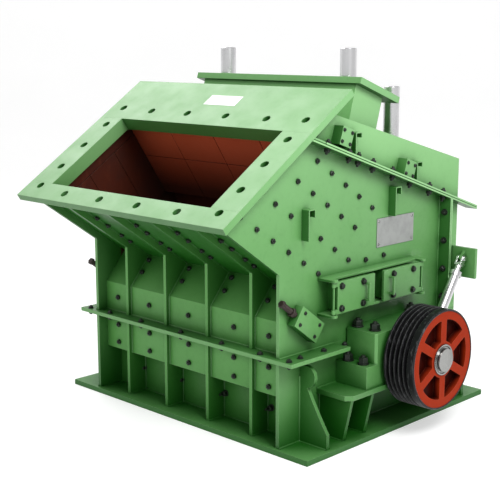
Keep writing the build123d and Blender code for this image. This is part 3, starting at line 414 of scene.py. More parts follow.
# a stronger underLight: painted light on the chute's plates that face down
chuteLinerSettings = dict(linerSteelSettings, main=(0.30, 0.056, 0.024), dark=(0.19, 0.038, 0.017),
                          bright=(0.36, 0.11, 0.055), underLight=(-0.1, -0.4, 0.95, (0.98, 0.200, 0.080)))
plainSteelSettings = dict(linerSteelSettings, depthShade=("Z", -1.0, -2.0, 0.0))
darkSteelSettings = dict(plainSteelSettings, main=(0.030, 0.032, 0.030), dark=(0.012, 0.013, 0.012),
                         bright=(0.10, 0.105, 0.10), deep=(0.002, 0.002, 0.002), scale=14.0,
                         metallic=0.5, roughness=(0.38, 0.55), shade=(0.10, 0.2, 0.8, 0.7))
boltSteelSettings = dict(plainSteelSettings, main=(0.009, 0.015, 0.009), dark=(0.005, 0.008, 0.005),
                         bright=(0.060, 0.070, 0.056), deep=(0.002, 0.003, 0.002), scale=60.0,
                         pitScale=240.0, pitDepth=0.0003, edgeRadius=0.0020, metallic=0.1, ior=1.4,
                         roughness=(0.36, 0.48), shade=(0.03, 0.2, 0.8, 0.5))
# bright: scuffs, and a painted highlight along the rim's edges
rimBlackSettings = dict(plainSteelSettings, main=(0.008, 0.008, 0.009), dark=(0.004, 0.004, 0.005),
                        bright=(0.24, 0.24, 0.25), deep=(0.001, 0.001, 0.001), scale=11.0,
                        pitScale=160.0, pitDepth=0.0004, edgeRadius=0.0035, metallic=0.0, ior=1.22,
                        roughness=(0.34, 0.46), shade=(0.05, 0.3, 0.9, 0.9))
screwSteelSettings = dict(plainSteelSettings, main=(0.024, 0.014, 0.011), dark=(0.012, 0.008, 0.006),
                          bright=(0.14, 0.09, 0.07), deep=(0.004, 0.002, 0.001), scale=30.0,
                          pitScale=200.0, pitDepth=0.0004, edgeRadius=0.002, metallic=0.3,
                          shade=(0.03, 0.2, 0.8, 0.6))
machinedSettings = {
    "main": (0.33, 0.33, 0.32),
    "dark": (0.23, 0.23, 0.22),
    "ringScale": 900.0,
    "stainScale": 7.0,
    "edgeRadius": 0.003,
    "roughness": (0.24, 0.42),
    "metallic": 1.0,
}


def makeMachined(name, s):
    f = Finish(name)
    rings = f.noise(s["ringScale"], 2.0, 0.5, (0.05, 1.0, 1.0))
    stains = f.ramp(f.noise(s["stainScale"], 6.0), 0.45, 0.75, 0.0, 0.7)
    colour = f.mix(stains, s["main"], s["dark"])
    colour = f.mix(f.ramp(rings, 0.3, 0.7, 0.0, 0.25), colour, s["dark"])
    normal = f.edges(s["edgeRadius"])[0]
    rough = f.ramp(stains, 0.0, 0.7, *s["roughness"])
    f.fixed(Metallic=s["metallic"])
    return f.paint(colour, rough, f.bump(rings, 0.0002, 0.4, normal))


chromeSettings = dict(machinedSettings, main=(0.70, 0.70, 0.71), dark=(0.52, 0.52, 0.53),
                      ringScale=260.0, stainScale=4.0, roughness=(0.24, 0.34))
plateSettings = dict(machinedSettings, main=(0.37, 0.38, 0.37), dark=(0.28, 0.29, 0.28),
                     ringScale=400.0, stainScale=14.0, edgeRadius=0.0015, roughness=(0.38, 0.5),
                     metallic=0.6)
stickerSettings = {"main": (0.80, 0.81, 0.80), "grey": (0.66, 0.68, 0.66), "scale": 30.0}


def makeFoil(name, s):
    f = Finish(name)
    colour = f.mix(f.ramp(f.noise(s["scale"], 4.0), 0.4, 0.75, 0.0, 0.6), s["main"], s["grey"])
    f.fixed(IOR=1.45, Roughness=0.35)
    return f.paint(colour, None, f.bump(f.noise(s["scale"] * 6, 2.0), 0.0002, 0.4))


greenPaint = makeGreenPaint("greenPaint", greenPaintSettings)
trimGreen = makeGreenPaint("trimGreen", trimGreenSettings)
doorGreen = makeGreenPaint("doorGreen", doorGreenSettings)
frameGreen = makeGreenPaint("frameGreen", frameGreenSettings)
shellGreen = makeGreenPaint("shellGreen", shellGreenSettings)
coverGreen = makeGreenPaint("coverGreen", coverGreenSettings)
neckGreen = makeGreenPaint("neckGreen", neckGreenSettings)
barGreen = makeGreenPaint("barGreen", barGreenSettings)
flangeGreen = makeGreenPaint("flangeGreen", flangeGreenSettings)
frontGreen = makeGreenPaint("frontGreen", frontGreenSettings)
ribGreen = makeGreenPaint("ribGreen", ribGreenSettings)
baseGreen = makeGreenPaint("baseGreen", baseGreenSettings)
gussetGreen = makeGreenPaint("gussetGreen", gussetGreenSettings)
wheelRed = makeGreenPaint("wheelRed", wheelRedSettings)
linerSteel = makeWornSteel("linerSteel", linerSteelSettings)
chuteLiner = makeWornSteel("chuteLiner", chuteLinerSettings)
sideLiner = makeWornSteel("sideLiner", sideLinerSettings)
darkSteel = makeWornSteel("darkSteel", darkSteelSettings)
boltSteel = makeWornSteel("boltSteel", boltSteelSettings)
rimBlack = makeWornSteel("rimBlack", rimBlackSettings)
screwSteel = makeWornSteel("screwSteel", screwSteelSettings)
machinedSteel = makeMachined("machinedSteel", machinedSettings)
chromedSteel = makeMachined("chromedSteel", chromeSettings)
plateMetal = makeMachined("plateMetal", plateSettings)
stickerWhite = makeFoil("stickerWhite", stickerSettings)

finishOfSlot = {
    "green_paint": greenPaint,
    "liner_steel": linerSteel,
    "plate_metal": plateMetal,
    "chrome_rod": chromedSteel,
    "dark_steel": darkSteel,
    "bright_steel": machinedSteel,
    "black_rim": rimBlack,
    "red_wheel": wheelRed,
}
finishGroups = (
    (sideLiner, ("side_liners", "front_apron", "rear_apron")),
    (chuteLiner, ("chute_liners",)),
    (coverGreen, ("cover_sides",)),
    (neckGreen, ("neck",)),
    (barGreen, ("flange_bars", "cover_bars")),
    (flangeGreen, ("split_flange",)),
    (baseGreen, ("base_plate",)),
    (ribGreen, ("lower_ribs", "upper_ribs")),
    (gussetGreen, ("corner_gussets", "seat_gussets")),
    (frameGreen, ("door_frames",)),
    (doorGreen, ("front_door_right", "front_door_left", "rear_door_right", "rear_door_left")),
    (trimGreen, ("side_hooks", "cover_hooks", "jack_blocks")),
    (frontGreen, ("lower_front_wall", "middle_front_wall")),
    (shellGreen, ("lower_sides", "lower_rear_wall", "middle_sides", "cheeks", "chute_back_wall",
                  "cover_front_wall", "rear_wall", "roof_plate")),
)
finishOfNode = {name: finish for finish, names in finishGroups for name in names}
for subpart in frame["record"]["subparts"]:
    mesh = nodes[subpart["node"]].data
    mesh.materials.clear()
    mesh.materials.append(finishOfNode.get(subpart["node"], finishOfSlot[subpart["material_slot"]]))
print("stage: materials on the frame")


# fasteners: one small template for each kind, copied to its places

headForm = {"washerWider": 1.22, "chamfer": 0.09, "stubTaper": 0.86}
mergeWithin = 0.0002


def keepMesh(name, bm):
    mesh = bpy.data.meshes.new(name)
    bm.to_mesh(mesh)
    bm.free()
    return mesh


def hexHead(across, height, washer=0.0, stub=0.0, stubRadius=0.0):
    # stub is the end of the bolt that shows above the nut
    bm = bmesh.new()
    radius = across / 2 / cos(pi / 6)
    if washer:
        wide = radius * headForm["washerWider"]
        bmesh.ops.create_cone(bm, cap_ends=True, segments=12, radius1=wide, radius2=wide,
                              depth=washer, matrix=Matrix.Translation((0, 0, washer / 2)))
    made = bmesh.ops.create_cone(bm, cap_ends=True, segments=6, radius1=radius, radius2=radius,
                                 depth=height, matrix=Matrix.Translation((0, 0, washer + height / 2)))
    upper = [e for e in bm.edges if all(v in made["verts"] and v.co.z > washer + height / 2
                                        for v in e.verts)]
    bmesh.ops.bevel(bm, geom=upper, offset=across * headForm["chamfer"], offset_type="OFFSET",
                    segments=1, profile=0.5, affect="EDGES", material=-1)
    if stub:
        bmesh.ops.create_cone(bm, cap_ends=True, segments=10, radius1=stubRadius,
                              radius2=stubRadius * headForm["stubTaper"], depth=stub,
                              matrix=Matrix.Translation((0, 0, washer + height + stub / 2)))
    return keepMesh("headTemplate", bm)


def roundHead(radius, height):
    bm = bmesh.new()
    bmesh.ops.create_uvsphere(bm, u_segments=12, v_segments=8, radius=radius)
    bmesh.ops.bisect_plane(bm, geom=bm.verts[:] + bm.edges[:] + bm.faces[:], plane_co=(0, 0, 0),
                           plane_no=(0, 0, -1), clear_outer=True)
    bmesh.ops.scale(bm, vec=(1, 1, height / radius), verts=bm.verts)
    return keepMesh("rivetTemplate", bm)


def seat(point, direction, turn=0.0):
    turned = Vector(direction).to_track_quat("Z", "Y").to_matrix().to_4x4()
    return Matrix.Translation(point) @ turned @ Matrix.Rotation(turn, 4, "Z")


def finishPiece(name, bm, material, body, smooth=None):
    bmesh.ops.recalc_face_normals(bm, faces=bm.faces)
    mesh = keepMesh(name, bm)
    mesh.materials.append(material)
    piece = bpy.data.objects.new(name, mesh)
    scene.collection.objects.link(piece)
    if smooth:
        mesh.shade_smooth()
        mesh.set_sharp_from_angle(angle=radians(smooth))
    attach(piece, body)
    return piece


def placeCopies(name, template, places, body, material=boltSteel):
    bm = bmesh.new()
    for place in places:
        start = len(bm.verts)
        bm.from_mesh(template)
        bm.verts.ensure_lookup_table()
        bmesh.ops.transform(bm, matrix=place, verts=bm.verts[start:])
    finishPiece(name, bm, material, body, smooth=40)


def seats(places, direction, turn=0.7):
    # each head is turned a little further than its neighbour, as on a real machine
    return [seat(p, direction, turn * n) for n, p in enumerate(places)]


def sidewaysSeats(places, turn=0.7):
    return [seat(p, (1 if p.x > 0 else -1, 0, 0), turn * n) for n, p in enumerate(places)]


linerBolts = {
    "head": {"across": 0.030, "height": 0.014, "stub": 0.008, "stubRadius": 0.008},
    "step": (0.1385, -0.0872),
    "rows": (((0.333, 1.806), 5), ((0.156, 1.697), 5), ((-0.1815, 1.667), 7), ((-0.3395, 1.534), 6)),
    "singles": ((0.830, 1.119), (1.022, 1.124)),
}


def linerBoltPlaces(s):
    places = [Vector((sideFace, start[0] + n * s["step"][0], start[1] + n * s["step"][1]))
              for start, count in s["rows"] for n in range(count)]
    return places + [Vector((sideFace, y, z)) for y, z in s["singles"]]


placeCopies("liner_bolts", hexHead(**linerBolts["head"]),
            sidewaysSeats(bothSides(linerBoltPlaces(linerBolts))), "housing")

frontBolts = {
    "head": {"across": 0.032, "height": 0.016, "stub": 0.007, "stubRadius": 0.009},
    "bays": (-0.742, -0.400, 0.003, 0.435, 0.745),
    "bandHeights": (0.720, 0.518, 0.389),
    "bandTurn": 0.5,
    "chuteX": (-0.560, -0.150, 0.250, 0.640),
    "chutePlaces": ((-0.230, 1.357), (-0.139, 1.295), (-0.022, 1.214), (0.054, 1.161)),
    "panelX": (-0.564, -0.143, 0.270, 0.660),
    "panelPlaces": ((0.158, 0.916), (0.223, 0.993)),
    "slopeTurn": 0.6,
}


def frontBoltSeats(s):
    band = [(bandFace, z) for z in s["bandHeights"]]
    rows = ((s["bays"], band, (0, -1, 0), s["bandTurn"]),
            (s["chuteX"], s["chutePlaces"], chuteDown, s["slopeTurn"]),
            (s["panelX"], s["panelPlaces"], panelUp, s["slopeTurn"]))
    return [place for line, points, out, turn in rows for x in line
            for place in seats([(x, *point) for point in points], out, turn)]


placeCopies("front_wall_bolts", hexHead(**frontBolts["head"]), frontBoltSeats(frontBolts), "housing")

recessBolts = {
    "head": {"across": 0.034, "height": 0.026, "washer": 0.005, "stub": 0.026, "stubRadius": 0.010},
    "x": (-0.610, -0.205, 0.232, 0.655),
    "z": 0.198,
}
recess = [(x, wallFace, recessBolts["z"]) for x in recessBolts["x"]]
placeCopies("recess_bolts", hexHead(**recessBolts["head"]), seats(recess, (0, -1, 0)), "housing")

splitBolts = {
    "head": {"across": 0.030, "height": 0.013, "washer": 0.003, "stub": 0.006, "stubRadius": 0.008},
    "frontX": (-0.965, -0.742, -0.400, 0.010, 0.400, 0.742, 0.985),
    "frontY": -0.002,
    "sideX": 0.980,
    "sideY": (0.105, 0.329, 0.533),
    "rear": (0.948, 1.565),
}


def splitPlaces(s):
    front = [Vector((x, s["frontY"], 0)) for x in s["frontX"]]
    return front + bothSides([(s["sideX"], y, 0) for y in s["sideY"]] + [(*s["rear"], 0)])


upper = [p + Vector((0, 0, splitTop)) for p in splitPlaces(splitBolts)]
lower = [p + Vector((0, 0, splitLow)) for p in splitPlaces(splitBolts)]
placeCopies("split_bolts", hexHead(**splitBolts["head"]),
            seats(upper, (0, 0, 1)) + seats(lower, (0, 0, -1)), "housing")

jointBolts = {
    "head": {"across": 0.034, "height": 0.020, "washer": 0.003, "stub": 0.012, "stubRadius": 0.010},
    "alongY": (0.375, 0.583, 0.677, 0.827, 1.038, 1.236, 1.462, 1.630),
    "uprightZ": (1.346, 1.144, 0.941, 0.740),
}


def jointSeats(s, side):
    # side 1 gives the nuts on the cover's bars, side -1 the heads under the housing's bars
    lift = side * barThick / cos(barSlope)
    inclined = bothSides([(barMiddle, y, jointZ(y) + lift) for y in s["alongY"]])
    upright = bothSides([(barMiddle, uprightJoint + side * barThick, z) for z in s["uprightZ"]])
    return seats(inclined, barUp * side) + seats(upright, (0, side, 0))


template = hexHead(**jointBolts["head"])
placeCopies("joint_nuts", template, jointSeats(jointBolts, 1), "cover")
placeCopies("joint_heads", template, jointSeats(jointBolts, -1), "housing")

blockBolts = {
    "head": {"across": 0.018, "height": 0.007, "washer": 0.002},
    "pivotCentres": ((0.532, 1.944), (1.202, 1.688)),
    "pivotSpread": (0.040, 0.036),
    "jackSpread": (0.084, 0.0405),
}


def cornerPlaces(x, centre, spread, slope):
    along = Vector((0, cos(slope), sin(slope)))
    across = Vector((0, -sin(slope), cos(slope)))
    middle = Vector((x, *centre))
    return [middle + along * i * spread[0] + across * j * spread[1]
            for i in (-1, 1) for j in (-1, 1)]


template = hexHead(**blockBolts["head"])
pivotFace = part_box("pivot_blocks")[1].x
pivotPlaces = [p for centre in blockBolts["pivotCentres"]
               for p in cornerPlaces(pivotFace, centre, blockBolts["pivotSpread"], -barSlope)]
placeCopies("pivot_block_bolts", template, sidewaysSeats(bothSides(pivotPlaces)), "cover")
jackPlaces = cornerPlaces(jackFace, jackCentre, blockBolts["jackSpread"], jackSlope)
placeCopies("jack_block_bolts", template, sidewaysSeats(bothSides(jackPlaces)), "housing")

doorBolts = {
    "head": {"across": 0.032, "height": 0.015, "washer": 0.003},
    "face": 1.018,
    "front": ((0.449, 1.022), (0.665, 1.018), (0.448, 0.878), (0.663, 0.877)),
    "rear": ((0.986, 1.019), (1.202, 1.018), (0.983, 0.876), (1.200, 0.877)),
}
template = hexHead(**doorBolts["head"])
for sideName, side in (("right", 1), ("left", -1)):
    for end in ("front", "rear"):
        places = [Vector((side * doorBolts["face"], y, z)) for y, z in doorBolts[end]]
        placeCopies(f"{end}_door_bolts_{sideName}", template, sidewaysSeats(places),
                    f"{end}_door_{sideName}")

bearingBolts = {
    "head": {"across": 0.056, "height": 0.040, "washer": 0.006, "stub": 0.014, "stubRadius": 0.016},
    "footX": (0.960, 1.085),
    "footZ": 0.496,
    "footSet": 0.405,
    "capX": (0.945, 1.085),
    "capSet": 0.290,
}


def bearingSeats(s):
    low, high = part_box("bearing_housings")
    middle = (low.y + high.y) / 2
    foot = [(x, middle + side * s["footSet"], s["footZ"]) for x in s["footX"] for side in (-1, 1)]
    cap = [(x, middle + side * s["capSet"], high.z) for x in s["capX"] for side in (-1, 1)]
    return seats(bothSides(foot + cap), (0, 0, 1))


placeCopies("bearing_bolts", hexHead(**bearingBolts["head"]), bearingSeats(bearingBolts), "housing")

rearBolts = {
    "head": {"across": 0.030, "height": 0.014, "stub": 0.008, "stubRadius": 0.008},
    "wallX": (0.240, 0.660),
    "wallZ": (0.820, 1.130, 1.440),
    "lowX": (0.214, 0.760),
    "lowZ": 0.300,
    "roofX": (0.300, 0.790),
    "roofY": (1.290, 1.745),
}


def rearSeats(s):
    # the wear plates' bolts go on round the rear wall and over the roof
    wall = bothSides([(x, rearFace, z) for x in s["wallX"] for z in s["wallZ"]])
    roof = bothSides([(x, y, roofZ(y)) for x in s["roofX"] for y in s["roofY"]])
    return seats(wall, (0, 1, 0)) + seats(roof, (0, sin(roofSlope), cos(roofSlope)))


template = hexHead(**rearBolts["head"])
placeCopies("cover_liner_bolts", template, rearSeats(rearBolts), "cover")
lowRear = bothSides([(x, lowerRearFace, rearBolts["lowZ"]) for x in rearBolts["lowX"]])
placeCopies("lower_rear_bolts", template, seats(lowRear, (0, 1, 0)), "housing")

bearingCovers = {"outer": 0.128, "shaft": 0.0885, "thick": 0.009, "chamfer": 0.003, "steps": 48,
                 "merge": 0.00005, "bolts": 6, "circle": 0.108, "turn": 0.3,
                 "head": {"across": 0.020, "height": 0.006}}


def coverRing(s, hole):
    # the ring's section turned about Z; without a hole it closes to a disc
    bm = bmesh.new()
    bevel = s["chamfer"]
    section = ((hole, 0), (s["outer"], 0), (s["outer"], s["thick"] - bevel),
               (s["outer"] - bevel, s["thick"]), (hole + bevel if hole else 0, s["thick"]))
    corners = [bm.verts.new((r, 0, z)) for r, z in section]
    line = [bm.edges.new(pair) for pair in zip(corners, corners[1:] + corners[:1])]
    bmesh.ops.spin(bm, geom=corners + line, cent=(0, 0, 0), axis=(0, 0, 1), angle=2 * pi,
                   steps=s["steps"], use_merge=True)
    bmesh.ops.remove_doubles(bm, verts=bm.verts, dist=s["merge"])
    return keepMesh("ringTemplate", bm)


def ringBoltPlaces(s):
    angles = [n * 2 * pi / s["bolts"] + s["turn"] for n in range(s["bolts"])]
    return [Vector((side * (coverX + s["thick"]), shaftY + s["circle"] * cos(angle),
                    shaftZ + s["circle"] * sin(angle)))
            for side in (1, -1) for angle in angles]


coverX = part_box("bearing_housings")[1].x
placeCopies("bearing_ring", coverRing(bearingCovers, bearingCovers["shaft"]),
            [seat((coverX, shaftY, shaftZ), (1, 0, 0))], "housing", greenPaint)
placeCopies("bearing_end_cover", coverRing(bearingCovers, 0.0),
            [seat((-coverX, shaftY, shaftZ), (-1, 0, 0))], "housing", greenPaint)
placeCopies("bearing_cover_bolts", hexHead(**bearingCovers["head"]),
            sidewaysSeats(ringBoltPlaces(bearingCovers)), "housing")

plateRivets = {"radius": 0.009, "height": 0.006, "inset": 0.020}
low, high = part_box("name_plate")
rivetPlaces = [Vector((high.x, y, z))
               for y in (low.y + plateRivets["inset"], high.y - plateRivets["inset"])
               for z in (low.z + plateRivets["inset"], high.z - plateRivets["inset"])]
placeCopies("name_plate_rivets", roundHead(plateRivets["radius"], plateRivets["height"]),
            sidewaysSeats(rivetPlaces), "housing", machinedSteel)
print("stage: fasteners placed")

# lifting hooks: a strap set on edge and bent over, in place of the plain ones

hooks = {"reach": 0.060, "height": 0.196, "length": 0.064, "lip": 0.052, "strap": 0.008, "bend": 0.012,
         "side": ((0.196, -0.429), (1.068, -0.080)), "cover": ((0.636, 0.161), (1.298, 0.146)),
         "coverLip": 0.036, "clear": 0.0005}


def addHook(bm, side, y, top, low, lip, s):
    path = [(y, low), (y, top), (y + s["length"], top), (y + s["length"], top - lip)]
    corners = [bm.verts.new((side * sideFace, *p)) for p in path]
    line = [bm.edges.new(pair) for pair in zip(corners, corners[1:])]
    drawn = bmesh.ops.extrude_edge_only(bm, edges=line)["geom"]
    outer = [v for v in drawn if isinstance(v, bmesh.types.BMVert)]
    bmesh.ops.translate(bm, vec=(side * s["reach"], 0, 0), verts=outer)
    faces = [f for f in drawn if isinstance(f, bmesh.types.BMFace)]
    bends = {e for f in faces for e in f.edges if len(e.link_faces) == 2}
    bmesh.ops.bevel(bm, geom=list(bends), offset=s["bend"], offset_type="OFFSET", segments=4,
                    profile=0.5, affect="EDGES", material=-1)


def makeHooks(name, places, lip, body, node, s):
    bm = bmesh.new()
    for side in (1, -1):
        for y, rise in places:
            top = jointZ(y) + rise
            barTop = jointZ(y) + (barThick + s["clear"]) / cos(barSlope)
            low = max(top - s["height"], barTop) if rise > 0 else top - s["height"]
            addHook(bm, side, y, top, low, lip, s)
    bmesh.ops.recalc_face_normals(bm, faces=bm.faces)
    bmesh.ops.solidify(bm, geom=bm.faces[:], thickness=s["strap"])
    piece = finishPiece(name, bm, trimGreen, body, smooth=40)
    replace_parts(piece, node)


makeHooks("side_lifting_hooks", hooks["side"], hooks["lip"], "housing", "side_hooks", hooks)
makeHooks("cover_lifting_hooks", hooks["cover"], hooks["coverLip"], "cover", "cover_hooks", hooks)
print("stage: hooks bent")

# jack plates and the threaded screws that push them, in place of the plain ones

jackPlates = {"length": 0.250, "width": 0.140, "bevel": 0.004}


def makeJackPlates(s):
    bm = bmesh.new()
    thick = jackFace - sideFace
    for side in (1, -1):
        cube = bmesh.ops.create_cube(bm, size=1.0)["verts"]
        place = (Matrix.Translation((side * (sideFace + thick / 2), *jackCentre))
                 @ Matrix.Rotation(jackSlope, 4, "X")
                 @ Matrix.Diagonal((thick, s["length"], s["width"], 1)))
        bmesh.ops.transform(bm, matrix=place, verts=cube)
    bmesh.ops.bevel(bm, geom=bm.edges[:], offset=s["bevel"], offset_type="OFFSET", segments=2,
                    profile=0.5, affect="EDGES", material=-1)
    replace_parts(finishPiece("jack_plates", bm, trimGreen, "housing", smooth=40),
                "jack_blocks")


makeJackPlates(jackPlates)

jackScrews = {"outer": 0.0190, "core": 0.0155, "cover": 0.0005, "pitch": 0.0090, "crest": 0.45,
              "turns": 16, "steps": 18, "start": (0.1095, 0.8793),
              "nut": {"across": 0.054, "height": 0.022}, "nutAt": 0.030,
              "head": {"across": 0.044, "height": 0.022}, "headAt": 0.141}


def threadMesh(s):
    # a zigzag line wound round Z with a rise of one pitch a turn
    bm = bmesh.new()
    corners = []
    for n in range(s["turns"]):
        corners.append(bm.verts.new((s["core"], 0, n * s["pitch"])))
        corners.append(bm.verts.new((s["outer"], 0, (n + s["crest"]) * s["pitch"])))
    line = [bm.edges.new(pair) for pair in zip(corners, corners[1:])]
    radius = s["core"] + s["cover"]
    bmesh.ops.create_cone(bm, cap_ends=True, segments=s["steps"], radius1=radius, radius2=radius,
                          depth=s["headAt"], matrix=Matrix.Translation((0, 0, s["headAt"] / 2)))
    bmesh.ops.spin(bm, geom=corners + line, cent=(0, 0, 0), axis=(0, 0, 1), angle=2 * pi,
                   dvec=(0, 0, s["pitch"] / s["steps"]), steps=s["steps"], use_merge=False)
    bmesh.ops.remove_doubles(bm, verts=bm.verts, dist=mergeWithin)
    return keepMesh("threadTemplate", bm)


def jackScrewSeats(s, shift):
    away = Vector((0, -cos(jackSlope), -sin(jackSlope)))
    x = (sideFace + jackFace) / 2
    return [seat(Vector((side * x, *s["start"])) + away * shift, away, pi / 6) for side in (1, -1)]


placeCopies("jack_threads", threadMesh(jackScrews), jackScrewSeats(jackScrews, 0.0), "housing",
            screwSteel)
placeCopies("jack_nuts", hexHead(**jackScrews["nut"]),
            jackScrewSeats(jackScrews, jackScrews["nutAt"]), "housing", screwSteel)
placeCopies("jack_screw_heads", hexHead(**jackScrews["head"]),
            jackScrewSeats(jackScrews, jackScrews["headAt"]), "housing", screwSteel)
print("stage: jack screws wound")

# weld beads along the seams between the plates

weldBeads = {
    "pitch": 0.013,
    "ripple": 0.16,
    "sides": 6,
    "centre": 0.12,                   # centre and reach are shares of a bead's size
    "reach": 0.78,
    "wide": 0.010,
    "seat": 0.009,
    "plate": 0.008,
    "bar": 0.007,
    "seatEnds": (0.543, 1.457),       # the seams stop between these, where the bearing is
    "splitEnds": (0.523, 1.477),
    "gussetSets": (0.397, 0.605),
    "gussetFoot": 0.198,
    "cornerTop": 0.470,
    "cornerFoot": 0.225,
    "ribX": (0.205, 0.610),
    "ribTop": 0.338,
    "ribFoot": 0.050,
    "underFrom": 0.225,
    "overFrom": 0.260,
}


def addBead(bm, start, end, first, second, size, s):
    # a rippled rod of weld metal lying in the corner between two plates
    run = Vector(end) - Vector(start)
    count = max(2, round(run.length / s["pitch"]))
    along = run.normalized()
    first, second = Vector(first), Vector(second)
    fresh = bmesh.ops.create_grid(bm, x_segments=count, y_segments=s["sides"], size=0.5)["verts"]
    middle = Vector(start) + (first + second) * size * s["centre"]
    for v in fresh:
        way = v.co.x + 0.5
        turn = (v.co.y + 0.5) * 2 * pi
        swell = 1 + s["ripple"] * (round(way * count) % 2)
        reach = size * s["reach"] * swell
        v.co = middle + along * (way * run.length) + (first * cos(turn) + second * sin(turn)) * reach
    bmesh.ops.remove_doubles(bm, verts=fresh, dist=mergeWithin)


def housingSeams(s):
    # (start, end, first plate's direction, second plate's direction, size); x is mirrored later
    up, down, out, ahead = (0, 0, 1), (0, 0, -1), (1, 0, 0), (0, -1, 0)
    x = sideFace
    base = baseTop
    seatLow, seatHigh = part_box("bearing_seats")
    seatFront, seatRear = s["seatEnds"]
    splitFront, splitRear = s["splitEnds"]
    fine, plate = s["seat"], s["plate"]
    return [((x, 0.0, base), (x, lowerRearFace, base), out, up, s["wide"]),
            ((0.0, wallFace, base), (x - 2 * halfPlate, wallFace, base), ahead, up, fine),
            ((x, seatLow.y, seatHigh.z), (x, seatFront, seatHigh.z), out, up, fine),
            ((x, seatRear, seatHigh.z), (x, seatHigh.y, seatHigh.z), out, up, fine),
            ((x, seatLow.y, seatLow.z), (x, seatHigh.y, seatLow.z), out, down, fine),
            ((x, 0.0, splitTop), (x, splitFront, splitTop), out, up, plate),
            ((x, 0.0, splitLow), (x, splitFront, splitLow), out, down, plate),
            ((x, splitRear, splitTop), (x, uprightJoint - barThick, splitTop), out, up, plate),
            ((x, splitRear, splitLow), (x, uprightJoint, splitLow), out, down, plate),
            ((0.0, bandFace, splitTop), (x, bandFace, splitTop), ahead, up, plate),
            ((0.0, bandFace, splitLow), (x, bandFace, splitLow), ahead, down, plate)]


def gussetSeams(s):
    # along both faces of the plates that stand out from the side walls
    up, out = (0, 0, 1), (1, 0, 0)
    x, base = sideFace, baseTop
    seatLow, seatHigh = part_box("bearing_seats")
    cornerLow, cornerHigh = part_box("corner_gussets")
    middle = seatLow.y + (seatHigh.y - seatLow.y) / 2
    plates = [(middle + end * away, seatLow.z, s["gussetFoot"])
              for away in s["gussetSets"] for end in (-1, 1)]
    plates += [(y, s["cornerTop"], s["cornerFoot"])
               for y in (cornerLow.y + halfPlate, cornerHigh.y - halfPlate)]
    seams = []
    for centre, top, foot in plates:
        for face in (-1, 1):
            y = centre + face * halfPlate
            seams.append(((x, y, base), (x, y, top), out, (0, face, 0), s["plate"]))
            seams.append(((x, y, base), (x + foot, y, base), up, (0, face, 0), s["plate"]))
    return seams


def ribSeams(s):
    # along both faces of every rib, below and above the split flange
    ahead, up = (0, -1, 0), (0, 0, 1)
    base, top = baseTop, s["ribTop"]
    plate, bar = s["plate"], s["bar"]
    seams = []
    for x in s["ribX"]:
        for face in (-1, 1):
            at = x + face * halfPlate
            side = (face, 0, 0)
            seams += [((at, wallFace, base), (at, wallFace, top), side, ahead, plate),
                      ((at, s["ribFoot"], base), (at, wallFace, base), side, up, plate),
                      ((at, bandFace, top), (at, bandFace, splitLow), side, ahead, bar),
                      ((at, bandFace, splitTop), (at, *panelFoot), side, ahead, bar),
                      ((at, *panelFoot), (at, *panelTop), side, panelUp, bar),
                      ((at, *panelTop), (at, *chuteEnd), side, chuteDown, bar)]
    return seams


def mirrored(seams):
    out = []
    for start, end, first, second, size in seams:
        for side in (1, -1):
            flip = Vector((side, 1, 1))
            out.append([Vector(v) * flip for v in (start, end, first, second)] + [size])
    return out


def makeWelds(name, seams, body, s):
    bm = bmesh.new()
    for start, end, first, second, size in mirrored(seams):
        addBead(bm, start, end, first, second, size, s)
    finishPiece(name, bm, greenPaint, body, smooth=60)


def barSeams(s):
    # along the inclined and the upright bars, on the side they are fixed to
    start, rear = s["underFrom"], uprightJoint
    thick = barThick / cos(barSlope)
    under = ((sideFace, start, jointZ(start) - thick), (sideFace, rear, jointZ(rear) - thick),
             (1, 0, 0), -barUp, s["bar"])
    ahead = ((sideFace, rear - barThick, splitTop), (sideFace, rear - barThick, jointZ(rear)),
             (1, 0, 0), (0, -1, 0), s["bar"])
    return [under, ahead]


def coverSeams(s):
    # along the cover's own bars and round the foot of the neck
    start, rear = s["overFrom"], uprightJoint
    thick = barThick / cos(barSlope)
    over = ((sideFace, start, jointZ(start) + thick), (sideFace, rearFace, jointZ(rearFace) + thick),
            (1, 0, 0), barUp, s["bar"])
    behind = ((sideFace, rear + barThick, splitTop), (sideFace, rear + barThick, jointZ(rear)),
              (1, 0, 0), (0, 1, 0), s["bar"])
    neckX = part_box("neck")[1].x
    ahead = Vector((0, -cos(roofSlope), sin(roofSlope)))
    wallUp = Vector((0, sin(neckLean), cos(neckLean)))
    foot, back = neckFeet
    front = ((0, *foot), (neckX, *foot), ahead, wallUp, s["wide"])
    beside = ((neckX, *foot), (neckX, *back), (1, 0, 0), wallUp, s["wide"])
    after = ((0, *back), (neckX, *back), -ahead, wallUp, s["wide"])
    return [over, behind, front, beside, after]


housingRuns = [seam for seams in (housingSeams, gussetSeams, ribSeams, barSeams)
               for seam in seams(weldBeads)]
makeWelds("housing_welds", housingRuns, "housing", weldBeads)
makeWelds("cover_welds", coverSeams(weldBeads), "cover", weldBeads)
print("stage: welds laid")

sticker = {"x": (-0.120, 0.176), "along": (1.097, 1.200), "thick": 0.0012}


def makeSticker(s):
    bm = bmesh.new()
    bmesh.ops.create_cube(bm, size=1.0)
    size = (s["x"][1] - s["x"][0], s["along"][1] - s["along"][0], s["thick"])
    bmesh.ops.scale(bm, vec=size, verts=bm.verts)
    middle = onFlange((s["x"][0] + s["x"][1]) / 2, sum(s["along"]) / 2, s["thick"] / 2)
    bmesh.ops.transform(bm, matrix=Matrix.Translation(middle) @ Matrix.Rotation(flangeSlope, 4, "X"),
                        verts=bm.verts)
    finishPiece("blank_sticker", bm, stickerWhite, "housing")


makeSticker(sticker)
print("stage: sticker made")


# stage, light and camera

